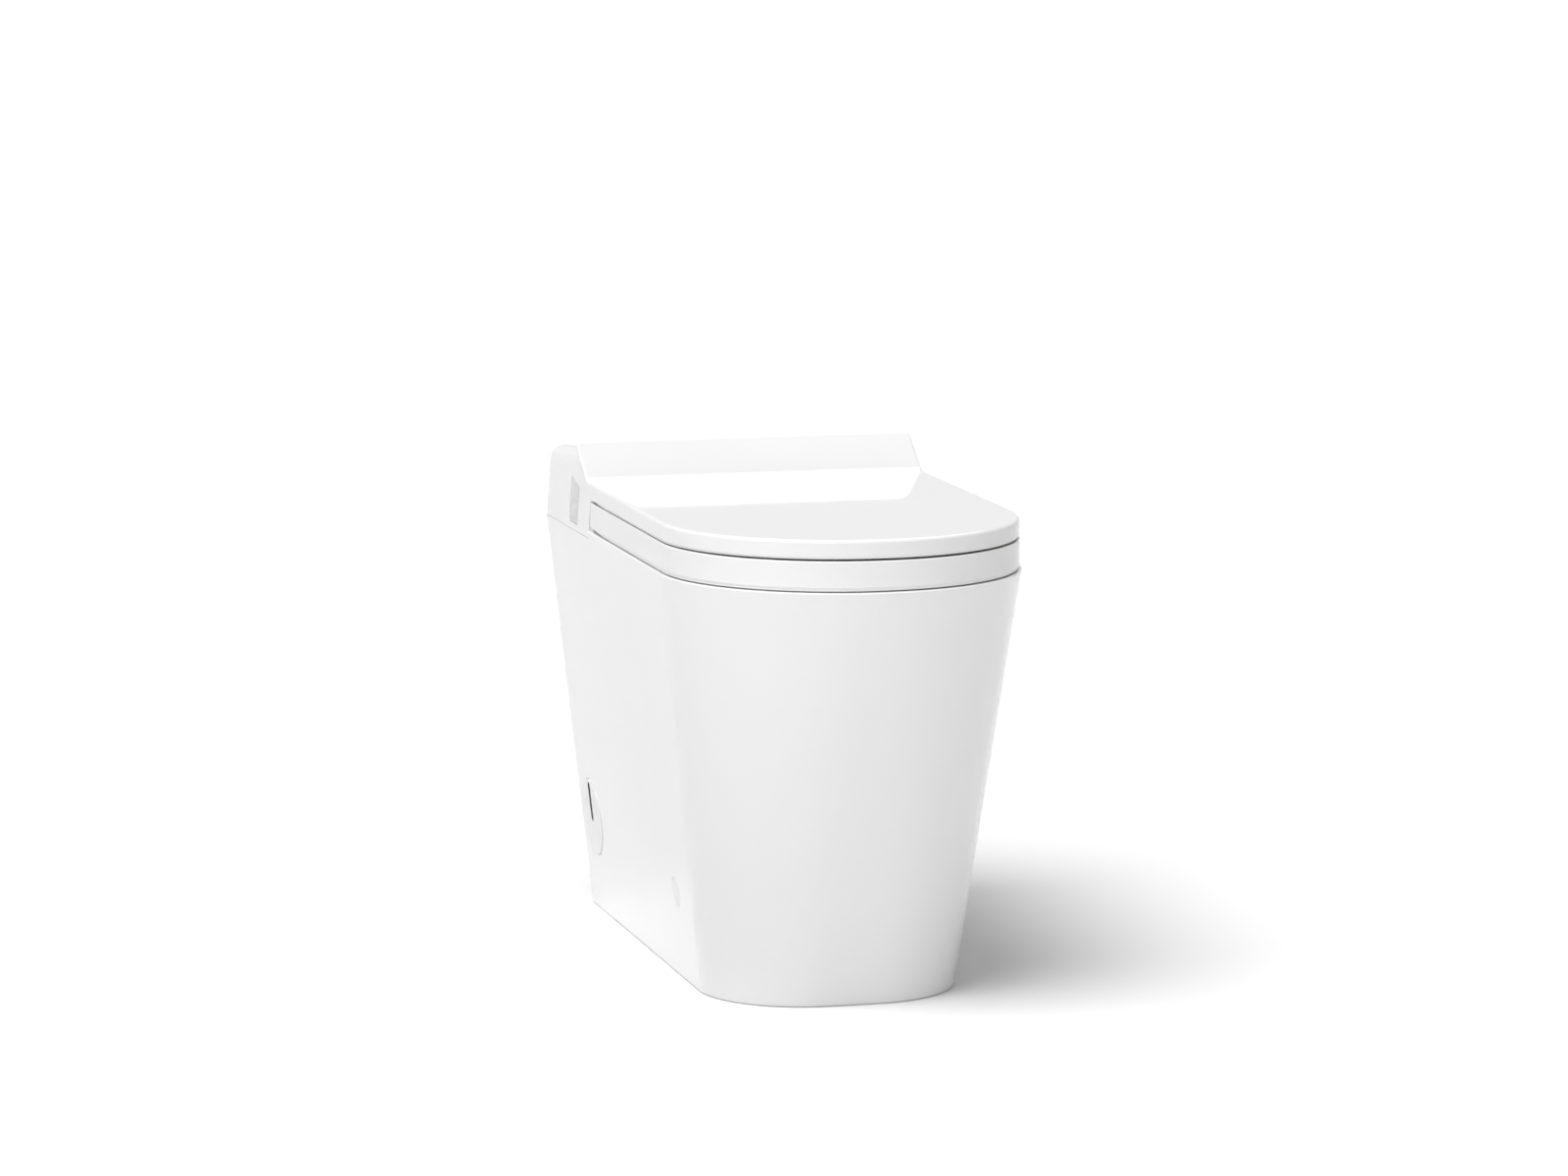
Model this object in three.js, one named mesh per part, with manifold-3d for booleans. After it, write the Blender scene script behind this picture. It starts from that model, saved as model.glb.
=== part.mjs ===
import * as THREE from 'three';
import { mergeVertices } from 'three/addons/utils/BufferGeometryUtils.js';
import Module from 'manifold-3d';

// Smart toilet: a skirted ceramic body with an integrated seat unit, in millimetres.
// +Z is up, the nose of the bowl points along -Y, and the origin is the middle of the footprint.

const wasm = await Module();
wasm.setup();

// Ceramic body, outside
const bodyDepth = 681.2;
const rimHeight = 420;
const rimHalfWidth = 176.1;
const rimCornerReach = 4.6;
const rimNoseRadius = 463;
const rimEdgeRound = 4;
const footHalfWidth = 127.6;
const footCornerReach = 26.4;
const footSetback = 119.5;
const footNoseRadius = 590;
const deckDrop = 8;

// Ceramic body, inside
const skirtWall = 12;
const rimDepth = 40;
const deckThickness = 14;
const rearHollowMargin = 16.8;
const bowlCentreShare = 0.58;
const bowlSideMargin = 50.1;
const bowlFrontMargin = 48.6;
const bowlRearMargin = 45.2;
const bowlFloorHeight = 122;
const bowlWall = 12;
const bowlSquareness = 2.25;
const wellSideMargin = 45.4;
const wellFrontMargin = 56.5;
const wellBackMargin = 20;
const wellCornerRadius = 18;
const notchHalfWidth = 45;
const notchDepth = 30;
const notchRun = 41.5;
const backArchHalfWidth = 70;
const backArchHeight = 250;

// Trapway and drain
const outletToWall = 305;
const trapBoreRadius = 25;
const trapWall = 8;
const trapBendRadius = 38;
const trapStartReach = 55;
const trapStartRise = 30;
const trapRun = 67.5;
const weirRun = 52.6;
const weirRise = 91;
const spigotRun = 59.9;
const spigotDrop = 78;
const elbowWall = 4;
const elbowBendRadius = 42;
const elbowClearance = 1;
const socketDepth = 17;
const socketFloor = 7;
const socketWall = 4;
const gasketThickness = 3.4;
const gasketHeight = 11;
const flangeRadius = 60;
const flangeThickness = 6;
const floorSealThickness = 8;
const floorSealWidth = 26;

// Openings and fittings on the skirt
const accessRadius = 40;
const accessBackMargin = 55;
const accessHeight = 101;
const accessLip = 3;
const accessThickness = 6;
const slotWidth = 9;
const slotTopMargin = 3;
const capRadius = 14.5;
const capDepth = 2;
const capRun = 270.6;
const capHeight = 90;
const screwRadius = 3;
const screwLength = 34;
const screwHeadRadius = 6;
const screwHeadHeight = 3;
const bracketThickness = 5;
const bracketMargin = 18;
const bracketFoot = 46;
const bracketWidth = 40;

// Seat ring
const ringSideInset = 1.1;
const ringFrontInset = 4;
const ringBackGap = 5.5;
const ringBackRadius = 8;
const ringLift = 4;
const ringThickness = 25.4;
const ringEdgeRound = 4;
const ringSideWidth = 69;
const ringFrontWidth = 80.6;
const ringRearWidth = 56;
const ringHoleFlare = 10;
const flareStartShare = 0.35;
const flareMidShare = 0.3;
const ringRecessInset = 9;
const ringRecessDepth = 6;
const heaterThickness = 1.4;
const seatBumperLength = 34;
const seatBumperWidth = 14;
const seatBumperFrontRun = 125.6;
const seatBumperRearRun = 43;
const seatBumperEdge = 26;

// Lid
const lidSideInset = 0.8;
const lidFrontInset = 5.8;
const lidLift = 3;
const lidThickness = 16.8;
const lidEdgeRound = 5;
const lidFlatMargin = 10.5;
const sweepFootMargin = 0.5;
const sweepFootRise = 4.3;
const sweepRun = 56;
const sweepHeadRise = 40.8;
const sweepTopFootRun = 13;
const sweepTopHeadRun = 5;
const sweepTopHeadRise = 3;
const lidEndRun = 8;
const lidEndRise = 7.5;
const lidEndThickness = 4.5;
const lidEndRound = 1.5;
const lidCornerRadius = 18;
const lidShell = 3.5;
const lidRim = 10;
const lidRibSpacing = 92;
const lidRibThickness = 3;
const lidPanelThickness = 2.8;
const lidBumperRadius = 7;
const lidBumperRun = 140.6;
const lidBumperEdge = 34;

// Hinge
const hingeBackset = 6;
const hingeDrop = 15;
const shaftRadius = 4.5;
const knuckleRadius = 10;
const knuckleWidth = 20;
const seatKnuckleX = 84;
const knuckleSpacing = 28;
const slotSideGap = 1;
const slotRadialGap = 1.5;
const seatArmRoot = 12;
const seatArmDrop = 13.4;
const seatArmHalfThickness = 6.5;
const lidArmRoot = 25;
const lidArmDrop = 0.4;
const lidArmHalfThickness = 5;
const hingeRib = 4;
const damperRadius = 8;
const damperLength = 46;
const damperDrop = 6;

// Rear housing and the base plate under it
const housingDepth = 197.1;
const housingSideInset = 0.7;
const housingLeanIn = 5.4;
const housingWall = 3.5;
const housingTopRadius = 18;
const housingEdgeRadius = 6;
const housingInnerRadius = 2;
const housingBackDrop = 17.1;
const housingCrownDrop = 4.4;
const housingCrownRun = 15;
const lidGap = 1.4;
const basePlateThickness = 4;
const basePlateInset = 5;
const mouthHalfWidth = 24;
const mouthHeight = 19;
const guideCutHalfWidth = 20;
const guideCutRun = 64.5;
const hoseCutHalfWidth = 24;
const hoseCutRun = 82.5;
const hoseCutLength = 30;
const rampHalfWidth = 8;
const rampMargin = 6;
const deckBoltRun = 28.5;
const deckBoltRadius = 4;
const deckBoltHead = 7;
const deckBoltHeadHeight = 5;
const deckBoltLength = 34;
const deckNutHeight = 7;

// Control strip on the left side
const stripRun = 52.5;
const stripWidth = 39;
const stripLift = 7;
const stripBackRise = 47;
const stripFrontRise = 36;
const stripCornerRadius = 4;
const stripDepth = 2.6;
const stripBacking = 2;
const panelThickness = 2;
const keyHeight = 15;
const keyWidth = 25;
const keyThickness = 1.6;
const keyGap = 4;
const keyCornerRadius = 2;
const keyStemRadius = 3;
const keyTravel = 1;

// Wand, all along an inclined line through the mouth
const wandMouthRun = 1.5;
const wandMouthRise = 3.5;
const wandBackRise = 49;
const wandRadius = 6.4;
const wandBackMargin = 11.6;
const nozzleLength = 30;
const shieldWidth = 40;
const shieldHeight = 18;
const shieldCornerRadius = 6;
const shieldThickness = 2.4;
const guideWidth = 24;
const guideHeight = 22;
const guideWall = 2.5;
const guideFrontWall = 8;
const guideFrontGap = 3;
const guideOverhang = 6;
const carriageLength = 10;
const sprayHoleRadius = 1.2;
const sprayHoleSpacing = 7;
const wandMotorRadius = 12;
const wandMotorLength = 15;
const wandMotorY = 61;
const wandGearLength = 37.5;
const wandGearWidth = 7.5;

// Appliances in the housing
const heaterDepth = 78;
const heaterHeight = 44;
const heaterSideGap = 18.4;
const heaterPortRadius = 5;
const heaterPortLength = 12;
const unitBackMargin = 12;
const unitSpacing = 9;
const boxCentreGap = 26;
const boxWidth = 52;
const boxDepth = 80;
const boxHeight = 24;
const boxRound = 4;
const fanHeight = 34;
const fanSideGap = 25.4;
const fanInletRadius = 16;
const fanInletDepth = 5;
const ductX = 46;
const ductWidth = 28;
const ductHeight = 18;
const ductWall = 2;
const ductFanGap = 22;
const ductFrontRun = 6.5;
const filterWidth = 34;
const filterDepth = 40;
const filterHeight = 22;
const filterX = -46;
const filterRun = 32.5;
const filterSlots = 4;
const filterSlotWidth = 3;
const glandRadius = 9;
const glandNeckRadius = 6;
const glandLength = 14;
const glandBoreRadius = 4;
const glandX = 52;
const glandRise = 15.4;

// Flush works in the ceramic body
const cradleInset = 42;
const cradleWidth = 74;
const cradleThickness = 3;
const cradleMargin = 16;
const cradleDrop = 192.7;
const cradleFlange = 22;
const cradleHoleGap = 3;
const pumpRadius = 28;
const pumpLength = 44;
const pumpMotorRadius = 21;
const pumpMotorLength = 46;
const pumpSpoutRadius = 9;
const valveRadius = 15;
const valveLength = 52;
const valveStubRadius = 10;
const valveStubLength = 26;
const valveInset = 40;
const valveHeight = 130;
const valvePlateWidth = 30;
const valvePlateThickness = 3;
const pipeRadius = 8;
const pipeWall = 1.6;
const pipeBend = 24;
const pipePortDrop = 68;
const pipePortShare = 0.7;

// Clearances, counts and the overrun of every cut
const seatGap = 0.3;
const runGap = 0.4;
const overrun = 5;
const cornerSteps = 8;
const noseSteps = 6;
const edgeSteps = 2;
const curveSteps = 3;
const arcSteps = 4;
const archSteps = 8;
const slopeSteps = 7;
const sweepRoundShare = 0.4;
const bowlSteps = 32;
const pipeSides = 12;
const pipeSteps = 15;
const roundSides = 24;
const smallSides = 12;

// Derived places: the ceramic body and its drain
const bodyBack = bodyDepth / 2;
const bodyFront = -bodyDepth / 2;
const rimCornerRadius = rimHalfWidth - rimCornerReach;
const footCornerRadius = footHalfWidth - footCornerReach;
const deckHeight = rimHeight - deckDrop;
const housingFrontY = bodyBack - housingDepth;
const deckFrontY = housingFrontY - seatGap;
const rearHollowFrontY = deckFrontY + rearHollowMargin;
const hollowTop = rimHeight - rimDepth;
const bowlCentreY = bodyFront + (deckFrontY - bodyFront) * bowlCentreShare;
const bowlHalfWidth = rimHalfWidth - bowlSideMargin;
const bowlFrontReach = bowlCentreY - bodyFront - bowlFrontMargin;
const bowlRearReach = deckFrontY - bowlRearMargin - bowlCentreY;
const bowlDepth = rimHeight - bowlFloorHeight;
const wellFrontY = housingFrontY + wellFrontMargin;
const notchFloorHeight = rimHeight - notchDepth;
const notchBackY = housingFrontY + notchRun;
const outletY = bodyBack - outletToWall;
const trapStartY = bowlCentreY + trapStartReach;
const trapStartHeight = bowlFloorHeight + trapStartRise;
const trapTurnY = trapStartY + trapRun;
const weirStartY = trapTurnY + weirRun;
const weirHeight = trapStartHeight + weirRise;
const spigotY = weirStartY + spigotRun;
const spigotEndHeight = weirHeight - spigotDrop;
const elbowRunHeight = bowlFloorHeight - bowlWall - elbowClearance - trapBoreRadius - elbowWall;
const capY = bodyFront + capRun;
const bracketHeight = capHeight + bracketMargin;

// Derived places: the seat ring, the lid and the hinge
const ringHalfWidth = rimHalfWidth - ringSideInset;
const ringBackY = housingFrontY - ringBackGap;
const ringHoleHalfWidth = ringHalfWidth - ringSideWidth;
const ringHoleFrontReach = bowlCentreY - bodyFront - ringFrontInset - ringFrontWidth;
const ringHoleRearReach = ringBackY - ringRearWidth - bowlCentreY;
const seatBumperFrontY = bodyFront + seatBumperFrontRun;
const seatBumperRearY = ringBackY - seatBumperRearRun;
const ringBottomHeight = rimHeight + ringLift;
const ringTopHeight = ringBottomHeight + ringThickness;
const lidHalfWidth = rimHalfWidth - lidSideInset;
const lidBumperFrontY = bodyFront + lidBumperRun;
const lidBottomHeight = ringTopHeight + lidLift;
const lidTopHeight = lidBottomHeight + lidThickness;
const lidFlatBackY = housingFrontY - lidFlatMargin;
const sweepFootY = housingFrontY - sweepFootMargin;
const sweepHeadY = sweepFootY + sweepRun;
const sweepHeadHeight = lidBottomHeight + sweepFootRise + sweepHeadRise;
const sweepRise = sweepHeadRise / sweepRun;
const sweepTopFootY = sweepFootY + sweepTopFootRun;
const sweepTopHeadY = sweepHeadY - sweepTopHeadRun;
const sweepTopHeadHeight = sweepHeadHeight + sweepTopHeadRise;
const lidEndY = sweepHeadY + lidEndRun;
const lidEndHeight = sweepHeadHeight + lidEndRise;
const hingeY = lidEndY + hingeBackset;
const hingeHeight = lidEndHeight - hingeDrop;
const lidKnuckleX = seatKnuckleX + knuckleSpacing;
const seatArmStartY = ringBackY - seatArmRoot;
const seatArmStartHeight = ringTopHeight - seatArmDrop;
const lidArmStartY = sweepFootY + lidArmRoot;
const lidArmStartHeight = lidBottomHeight + sweepFootRise + lidArmRoot * sweepRise - lidArmDrop;

// Derived places: the seat unit and the flush works
const housingHalfWidth = rimHalfWidth - housingSideInset;
const housingTopHalfWidth = housingHalfWidth - housingLeanIn;
const housingCrest = lidEndHeight - lidEndThickness - lidGap;
const housingBackHeight = housingCrest - housingBackDrop;
const plateBottom = deckHeight + seatGap;
const plateTop = plateBottom + basePlateThickness;
const unitFloor = plateTop + seatGap;
const unitBackY = bodyBack - housingWall - unitBackMargin;
const guideCutBackY = housingFrontY + guideCutRun;
const hoseCutFrontY = housingFrontY + hoseCutRun;
const rampFrontY = guideCutBackY + rampMargin;
const deckBoltX = seatKnuckleX + knuckleWidth / 2;
const deckBoltY = housingFrontY + deckBoltRun;
const stripFrontY = housingFrontY + stripRun;
const stripLowHeight = deckHeight + stripLift;
const wandMouthY = housingFrontY - wandMouthRun;
const wandMouthHeight = deckHeight + wandMouthRise;
const wandTilt = Math.atan2(wandBackRise, unitBackY - wandMouthY);
const wandLength = Math.hypot(wandBackRise, unitBackY - wandMouthY) - wandBackMargin;
const guideLength = wandLength + guideOverhang;
const boxX = -boxCentreGap - boxWidth / 2;
const heaterNear = boxCentreGap + boxWidth + unitSpacing;
const heaterWidth = housingHalfWidth - heaterSideGap - heaterNear;
const heaterX = -heaterNear - heaterWidth / 2;
const fanNear = ductX + ductWidth / 2 + ductFanGap;
const fanRadius = (housingHalfWidth - fanSideGap - fanNear) / 2;
const fanX = fanNear + fanRadius;
const ductFrontY = housingFrontY + ductFrontRun;
const filterY = housingFrontY + filterRun;
const glandHeight = unitFloor + glandRise;
const wellHalfWidth = housingHalfWidth - wellSideMargin;
const cradleX = wellHalfWidth - cradleInset;
const valveX = valveInset - wellHalfWidth;
const cradleFrontY = wellFrontY + cradleMargin;
const cradleTop = deckHeight - deckThickness - seatGap;
const cradleFloorHeight = cradleTop - cradleDrop;
const pipePortHeight = rimHeight - pipePortDrop;

// Materials
function finish(color, roughness, metalness = 0) {
  return new THREE.MeshStandardMaterial({ color, roughness, metalness });
}

const glaze = finish(0xf3f3f2, 0.12);
const whitePlastic = finish(0xf2f2f1, 0.22);
const greyPlastic = finish(0xdedfdf, 0.4);
const darkPlastic = finish(0x4c4f52, 0.6);
const pipePlastic = finish(0xc9cbcc, 0.5);
const rubber = finish(0xb9bbbc, 0.8);
const sealRubber = finish(0x2c2d2e, 0.9);
const steel = finish(0xb8bcc0, 0.3, 1);
const brass = finish(0xb99a5b, 0.35, 1);
const copperFilm = finish(0xb07a4a, 0.4, 1);

// Solids: conversion, joining and cutting
function toSolid(geometry) {
  const bare = geometry.clone();
  bare.deleteAttribute('normal');
  bare.deleteAttribute('uv');
  const merged = mergeVertices(bare, 1e-4);
  const vertProperties = new Float32Array(merged.attributes.position.array);
  const triVerts = new Uint32Array(merged.index.array);
  return new wasm.Manifold(new wasm.Mesh({ numProp: 3, vertProperties, triVerts }));
}

function toGeometry(solid) {
  const mesh = solid.getMesh();
  const geometry = new THREE.BufferGeometry();
  geometry.setAttribute('position', new THREE.BufferAttribute(mesh.vertProperties, 3));
  geometry.setIndex(new THREE.BufferAttribute(mesh.triVerts, 1));
  geometry.computeVertexNormals();
  return geometry;
}

function join(first, ...others) {
  return others.reduce((whole, piece) => whole.add(piece), first);
}

function cut(first, ...others) {
  return others.reduce((whole, piece) => whole.subtract(piece), first);
}

function overlapOf(first, ...others) {
  return others.reduce((whole, piece) => whole.intersect(piece), first);
}

// Solids: basic forms placed in the part's frame
function block(low, high) {
  const size = new THREE.Vector3().subVectors(high, low);
  const centre = new THREE.Vector3().addVectors(high, low).multiplyScalar(0.5);
  return toSolid(new THREE.BoxGeometry(size.x, size.y, size.z).translate(centre.x, centre.y, centre.z));
}

function box(x0, x1, y0, y1, z0, z1) {
  return block(new THREE.Vector3(x0, y0, z0), new THREE.Vector3(x1, y1, z1));
}

function rodX(radius, x0, x1, y, z, sides = roundSides) {
  const rod = new THREE.CylinderGeometry(radius, radius, x1 - x0, sides);
  return toSolid(rod.rotateZ(Math.PI / 2).translate((x0 + x1) / 2, y, z));
}

function rodY(radius, y0, y1, x, z, sides = roundSides) {
  const rod = new THREE.CylinderGeometry(radius, radius, y1 - y0, sides);
  return toSolid(rod.translate(x, (y0 + y1) / 2, z));
}

function rodZ(radius, z0, z1, x, y, sides = roundSides) {
  const rod = new THREE.CylinderGeometry(radius, radius, z1 - z0, sides);
  return toSolid(rod.rotateX(Math.PI / 2).translate(x, y, (z0 + z1) / 2));
}

function prismZ(points, z0, z1) {
  const shape = new THREE.Shape(points);
  const prism = new THREE.ExtrudeGeometry(shape, { depth: z1 - z0, bevelEnabled: false });
  return toSolid(prism.translate(0, 0, z0));
}

function extrudeX(shape, x0, x1, curveSegments = arcSteps) {
  const prism = new THREE.ExtrudeGeometry(shape, { depth: x1 - x0, bevelEnabled: false, curveSegments });
  const turn = new THREE.Matrix4().makeBasis(
    new THREE.Vector3(0, 1, 0),
    new THREE.Vector3(0, 0, 1),
    new THREE.Vector3(1, 0, 0),
  );
  return toSolid(prism.applyMatrix4(turn).translate(x0, 0, 0));
}

function extrudeY(shape, y0, y1, curveSegments = arcSteps) {
  const prism = new THREE.ExtrudeGeometry(shape, { depth: y1 - y0, bevelEnabled: false, curveSegments });
  return toSolid(prism.rotateX(Math.PI / 2).translate(0, y1, 0));
}

function latheZ(profile, x, y, sides = roundSides) {
  const points = profile.map(([radius, z]) => new THREE.Vector2(radius, z));
  points.push(points[0].clone());
  const ring = new THREE.LatheGeometry(points, sides);
  return toSolid(ring.rotateX(Math.PI / 2).translate(x, y, 0));
}

const fromAbove = (point) => new THREE.Vector2(point.x, point.y);
const fromBehind = (point) => new THREE.Vector2(-point.x, point.z);

function loft(rings, flatten = fromAbove) {
  const count = rings[0].length;
  const positions = rings.flat().flatMap((point) => [point.x, point.y, point.z]);
  const faces = [];
  for (let ring = 0; ring + 1 < rings.length; ring += 1) {
    for (let side = 0; side < count; side += 1) {
      const next = (side + 1) % count;
      const low = ring * count;
      const high = low + count;
      faces.push(low + side, low + next, high + next, low + side, high + next, high + side);
    }
  }
  const cap = (ring) => THREE.ShapeUtils.triangulateShape(ring.map(flatten), []);
  const topStart = (rings.length - 1) * count;
  cap(rings[0]).forEach(([a, b, c]) => faces.push(a, c, b));
  cap(rings.at(-1)).forEach(([a, b, c]) => faces.push(topStart + a, topStart + b, topStart + c));
  const geometry = new THREE.BufferGeometry();
  geometry.setAttribute('position', new THREE.Float32BufferAttribute(positions, 3));
  geometry.setIndex(faces);
  return toSolid(geometry);
}

// A level outline: parallel sides, two corner arcs and a wide nose arc, all tangent.
function planOutline(size, inset = 0) {
  const halfWidth = size.halfWidth - inset;
  const back = size.back - inset;
  const corner = size.corner - inset;
  const nose = size.nose - inset;
  const noseCentreY = size.front + size.nose;
  const reachX = halfWidth - corner;
  const cornerCentreY = noseCentreY - Math.sqrt((nose - corner) ** 2 - reachX ** 2);
  const meet = Math.atan2(cornerCentreY - noseCentreY, -reachX) + 2 * Math.PI;
  const points = [];
  const arc = (cx, cy, radius, from, to, steps) => {
    for (let step = 0; step <= steps; step += 1) {
      const angle = from + ((to - from) * step) / steps;
      points.push(new THREE.Vector2(cx + radius * Math.cos(angle), cy + radius * Math.sin(angle)));
    }
  };
  const backCorner = Math.max((size.backCorner ?? 0) - inset, 0);
  if (backCorner > 0) {
    arc(halfWidth - backCorner, back - backCorner, backCorner, 0, Math.PI / 2, edgeSteps);
    arc(backCorner - halfWidth, back - backCorner, backCorner, Math.PI / 2, Math.PI, edgeSteps);
  } else {
    points.push(new THREE.Vector2(halfWidth, back), new THREE.Vector2(-halfWidth, back));
  }
  arc(-reachX, cornerCentreY, corner, Math.PI, meet, cornerSteps);
  points.pop();
  arc(0, noseCentreY, nose, meet, 3 * Math.PI - meet, noseSteps);
  points.pop();
  arc(reachX, cornerCentreY, corner, 3 * Math.PI - meet, 2 * Math.PI, cornerSteps);
  return points;
}

function atHeight(points, z) {
  return points.map((point) => new THREE.Vector3(point.x, point.y, z));
}

// An egg outline: two half super-ellipses that share their widest chord.
function eggOutline(halfWidth, frontReach, rearReach, centreY) {
  const power = 2 / bowlSquareness;
  return Array.from({ length: bowlSteps }, (_, step) => {
    const angle = (2 * Math.PI * step) / bowlSteps;
    const across = Math.cos(angle);
    const along = Math.sin(angle);
    const reach = along > 0 ? rearReach : frontReach;
    const x = halfWidth * Math.sign(across) * Math.abs(across) ** power;
    const y = centreY + reach * Math.sign(along) * Math.abs(along) ** power;
    return new THREE.Vector2(x, y);
  });
}

// A route in the Y-Z plane at one x: straight runs joined by arcs of one bend radius.
function bentRoute(x, corners, bend) {
  const points = corners.map(([y, z]) => new THREE.Vector3(x, y, z));
  const path = new THREE.CurvePath();
  let from = points[0];
  for (let i = 1; i + 1 < points.length; i += 1) {
    const inward = new THREE.Vector3().subVectors(points[i], points[i - 1]).normalize();
    const outward = new THREE.Vector3().subVectors(points[i + 1], points[i]).normalize();
    const turn = inward.angleTo(outward);
    const leg = bend * Math.tan(turn / 2);
    const handle = leg - (4 / 3) * Math.tan(turn / 4) * bend;
    const start = points[i].clone().addScaledVector(inward, -leg);
    const end = points[i].clone().addScaledVector(outward, leg);
    path.add(new THREE.LineCurve3(from, start));
    path.add(new THREE.CubicBezierCurve3(
      start,
      points[i].clone().addScaledVector(inward, -handle),
      points[i].clone().addScaledVector(outward, handle),
      end,
    ));
    from = end;
  }
  path.add(new THREE.LineCurve3(from, points.at(-1)));
  return path;
}

function tube(path, radius, steps, sides = pipeSides) {
  const section = new THREE.Shape();
  section.absarc(0, 0, radius, 0, 2 * Math.PI);
  const outline = new THREE.Shape(section.getPoints(sides / 2).slice(0, -1));
  return toSolid(new THREE.ExtrudeGeometry(outline, { extrudePath: path, steps, bevelEnabled: false }));
}

// The assembly
const smartToilet = new THREE.Group();

function addPiece(name, shape, material, parent = smartToilet) {
  const geometry = shape instanceof THREE.BufferGeometry ? shape : toGeometry(shape);
  const mesh = new THREE.Mesh(geometry, material);
  mesh.name = name;
  parent.add(mesh);
  return mesh;
}

function onBothSides(make) {
  make('left', -1);
  make('right', 1);
}

function spanX(sign, near, far) {
  return sign < 0 ? [-far, -near] : [near, far];
}

function facing(sign, solid) {
  return sign < 0 ? solid.mirror([1, 0, 0]) : solid;
}

function roundedPlate(width, height, radius) {
  const shape = new THREE.Shape();
  const across = width / 2 - radius;
  const up = height / 2 - radius;
  shape.absarc(across, -up, radius, -Math.PI / 2, 0);
  shape.absarc(across, up, radius, 0, Math.PI / 2);
  shape.absarc(-across, up, radius, Math.PI / 2, Math.PI);
  shape.absarc(-across, -up, radius, Math.PI, 1.5 * Math.PI);
  return shape;
}

// Ceramic body: the outline shrinks in a straight taper from the rim to the foot.
function bodySize(height) {
  const share = height / rimHeight;
  const between = (foot, rim) => foot + (rim - foot) * share;
  return {
    halfWidth: between(footHalfWidth, rimHalfWidth),
    front: between(bodyFront + footSetback, bodyFront),
    corner: between(footCornerRadius, rimCornerRadius),
    nose: between(footNoseRadius, rimNoseRadius),
    back: bodyBack,
  };
}

function skirtSolid() {
  const rings = [atHeight(planOutline(bodySize(0)), 0)];
  for (let step = 0; step <= edgeSteps; step += 1) {
    const angle = (Math.PI / 2) * (step / edgeSteps);
    const height = rimHeight - rimEdgeRound * (1 - Math.sin(angle));
    const inset = rimEdgeRound * (1 - Math.cos(angle));
    rings.push(atHeight(planOutline({ ...bodySize(rimHeight), back: bodyBack + inset }, inset), height));
  }
  return loft(rings);
}

function skirtHollow() {
  const rings = [0, hollowTop].map((height) => {
    const z = height === 0 ? -overrun : height;
    return atHeight(planOutline(bodySize(height), skirtWall), z);
  });
  return loft(rings);
}

// Shares of the bowl's depth, half width, front reach and rear reach, from the rim down.
const bowlShares = [
  [0, 1.03, 1.015, 1.02],
  [0.012, 1, 1, 1],
  [0.1, 1.01, 1.01, 1.01],
  [0.3, 0.94, 0.93, 0.95],
  [0.53, 0.78, 0.72, 0.83],
  [0.74, 0.55, 0.43, 0.69],
  [0.9, 0.37, 0.17, 0.6],
  [1, 0.26, 0.06, 0.5],
];

function bowlSolid(wall, rise) {
  const rings = bowlShares.map(([depthShare, widthShare, frontShare, rearShare]) => {
    const outline = eggOutline(
      bowlHalfWidth * widthShare + wall,
      bowlFrontReach * frontShare + wall,
      bowlRearReach * rearShare + wall,
      bowlCentreY,
    );
    const lift = depthShare === 0 ? rise : 0;
    return atHeight(outline, rimHeight - bowlDepth * depthShare + lift - wall * depthShare);
  });
  return loft(rings.reverse());
}

const trapRoute = bentRoute(0, [
  [trapStartY, trapStartHeight],
  [trapTurnY, trapStartHeight],
  [weirStartY, weirHeight],
  [spigotY, weirHeight],
  [spigotY, spigotEndHeight],
], trapBendRadius);

const boreRoute = bentRoute(0, [
  [trapStartY, trapStartHeight],
  [trapTurnY, trapStartHeight],
  [weirStartY, weirHeight],
  [spigotY, weirHeight],
  [spigotY, spigotEndHeight - overrun],
], trapBendRadius);

// The side wall leans out with height; a fitting on it lies in a group turned by the same angle.
const sideLean = Math.atan2(rimHalfWidth - footHalfWidth, rimHeight);

function sideGroup(sign, y, height) {
  const group = new THREE.Group();
  group.position.set(sign * bodySize(height).halfWidth, y, height);
  group.rotation.y = sign * sideLean;
  return group;
}

function onSide(sign, y, height, solid) {
  const group = sideGroup(sign, y, height);
  group.updateMatrix();
  return solid.transform(group.matrix.toArray());
}

const accessY = bodyBack - accessBackMargin;
const screwSeat = -capDepth - screwHeadHeight - seatGap;

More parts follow.
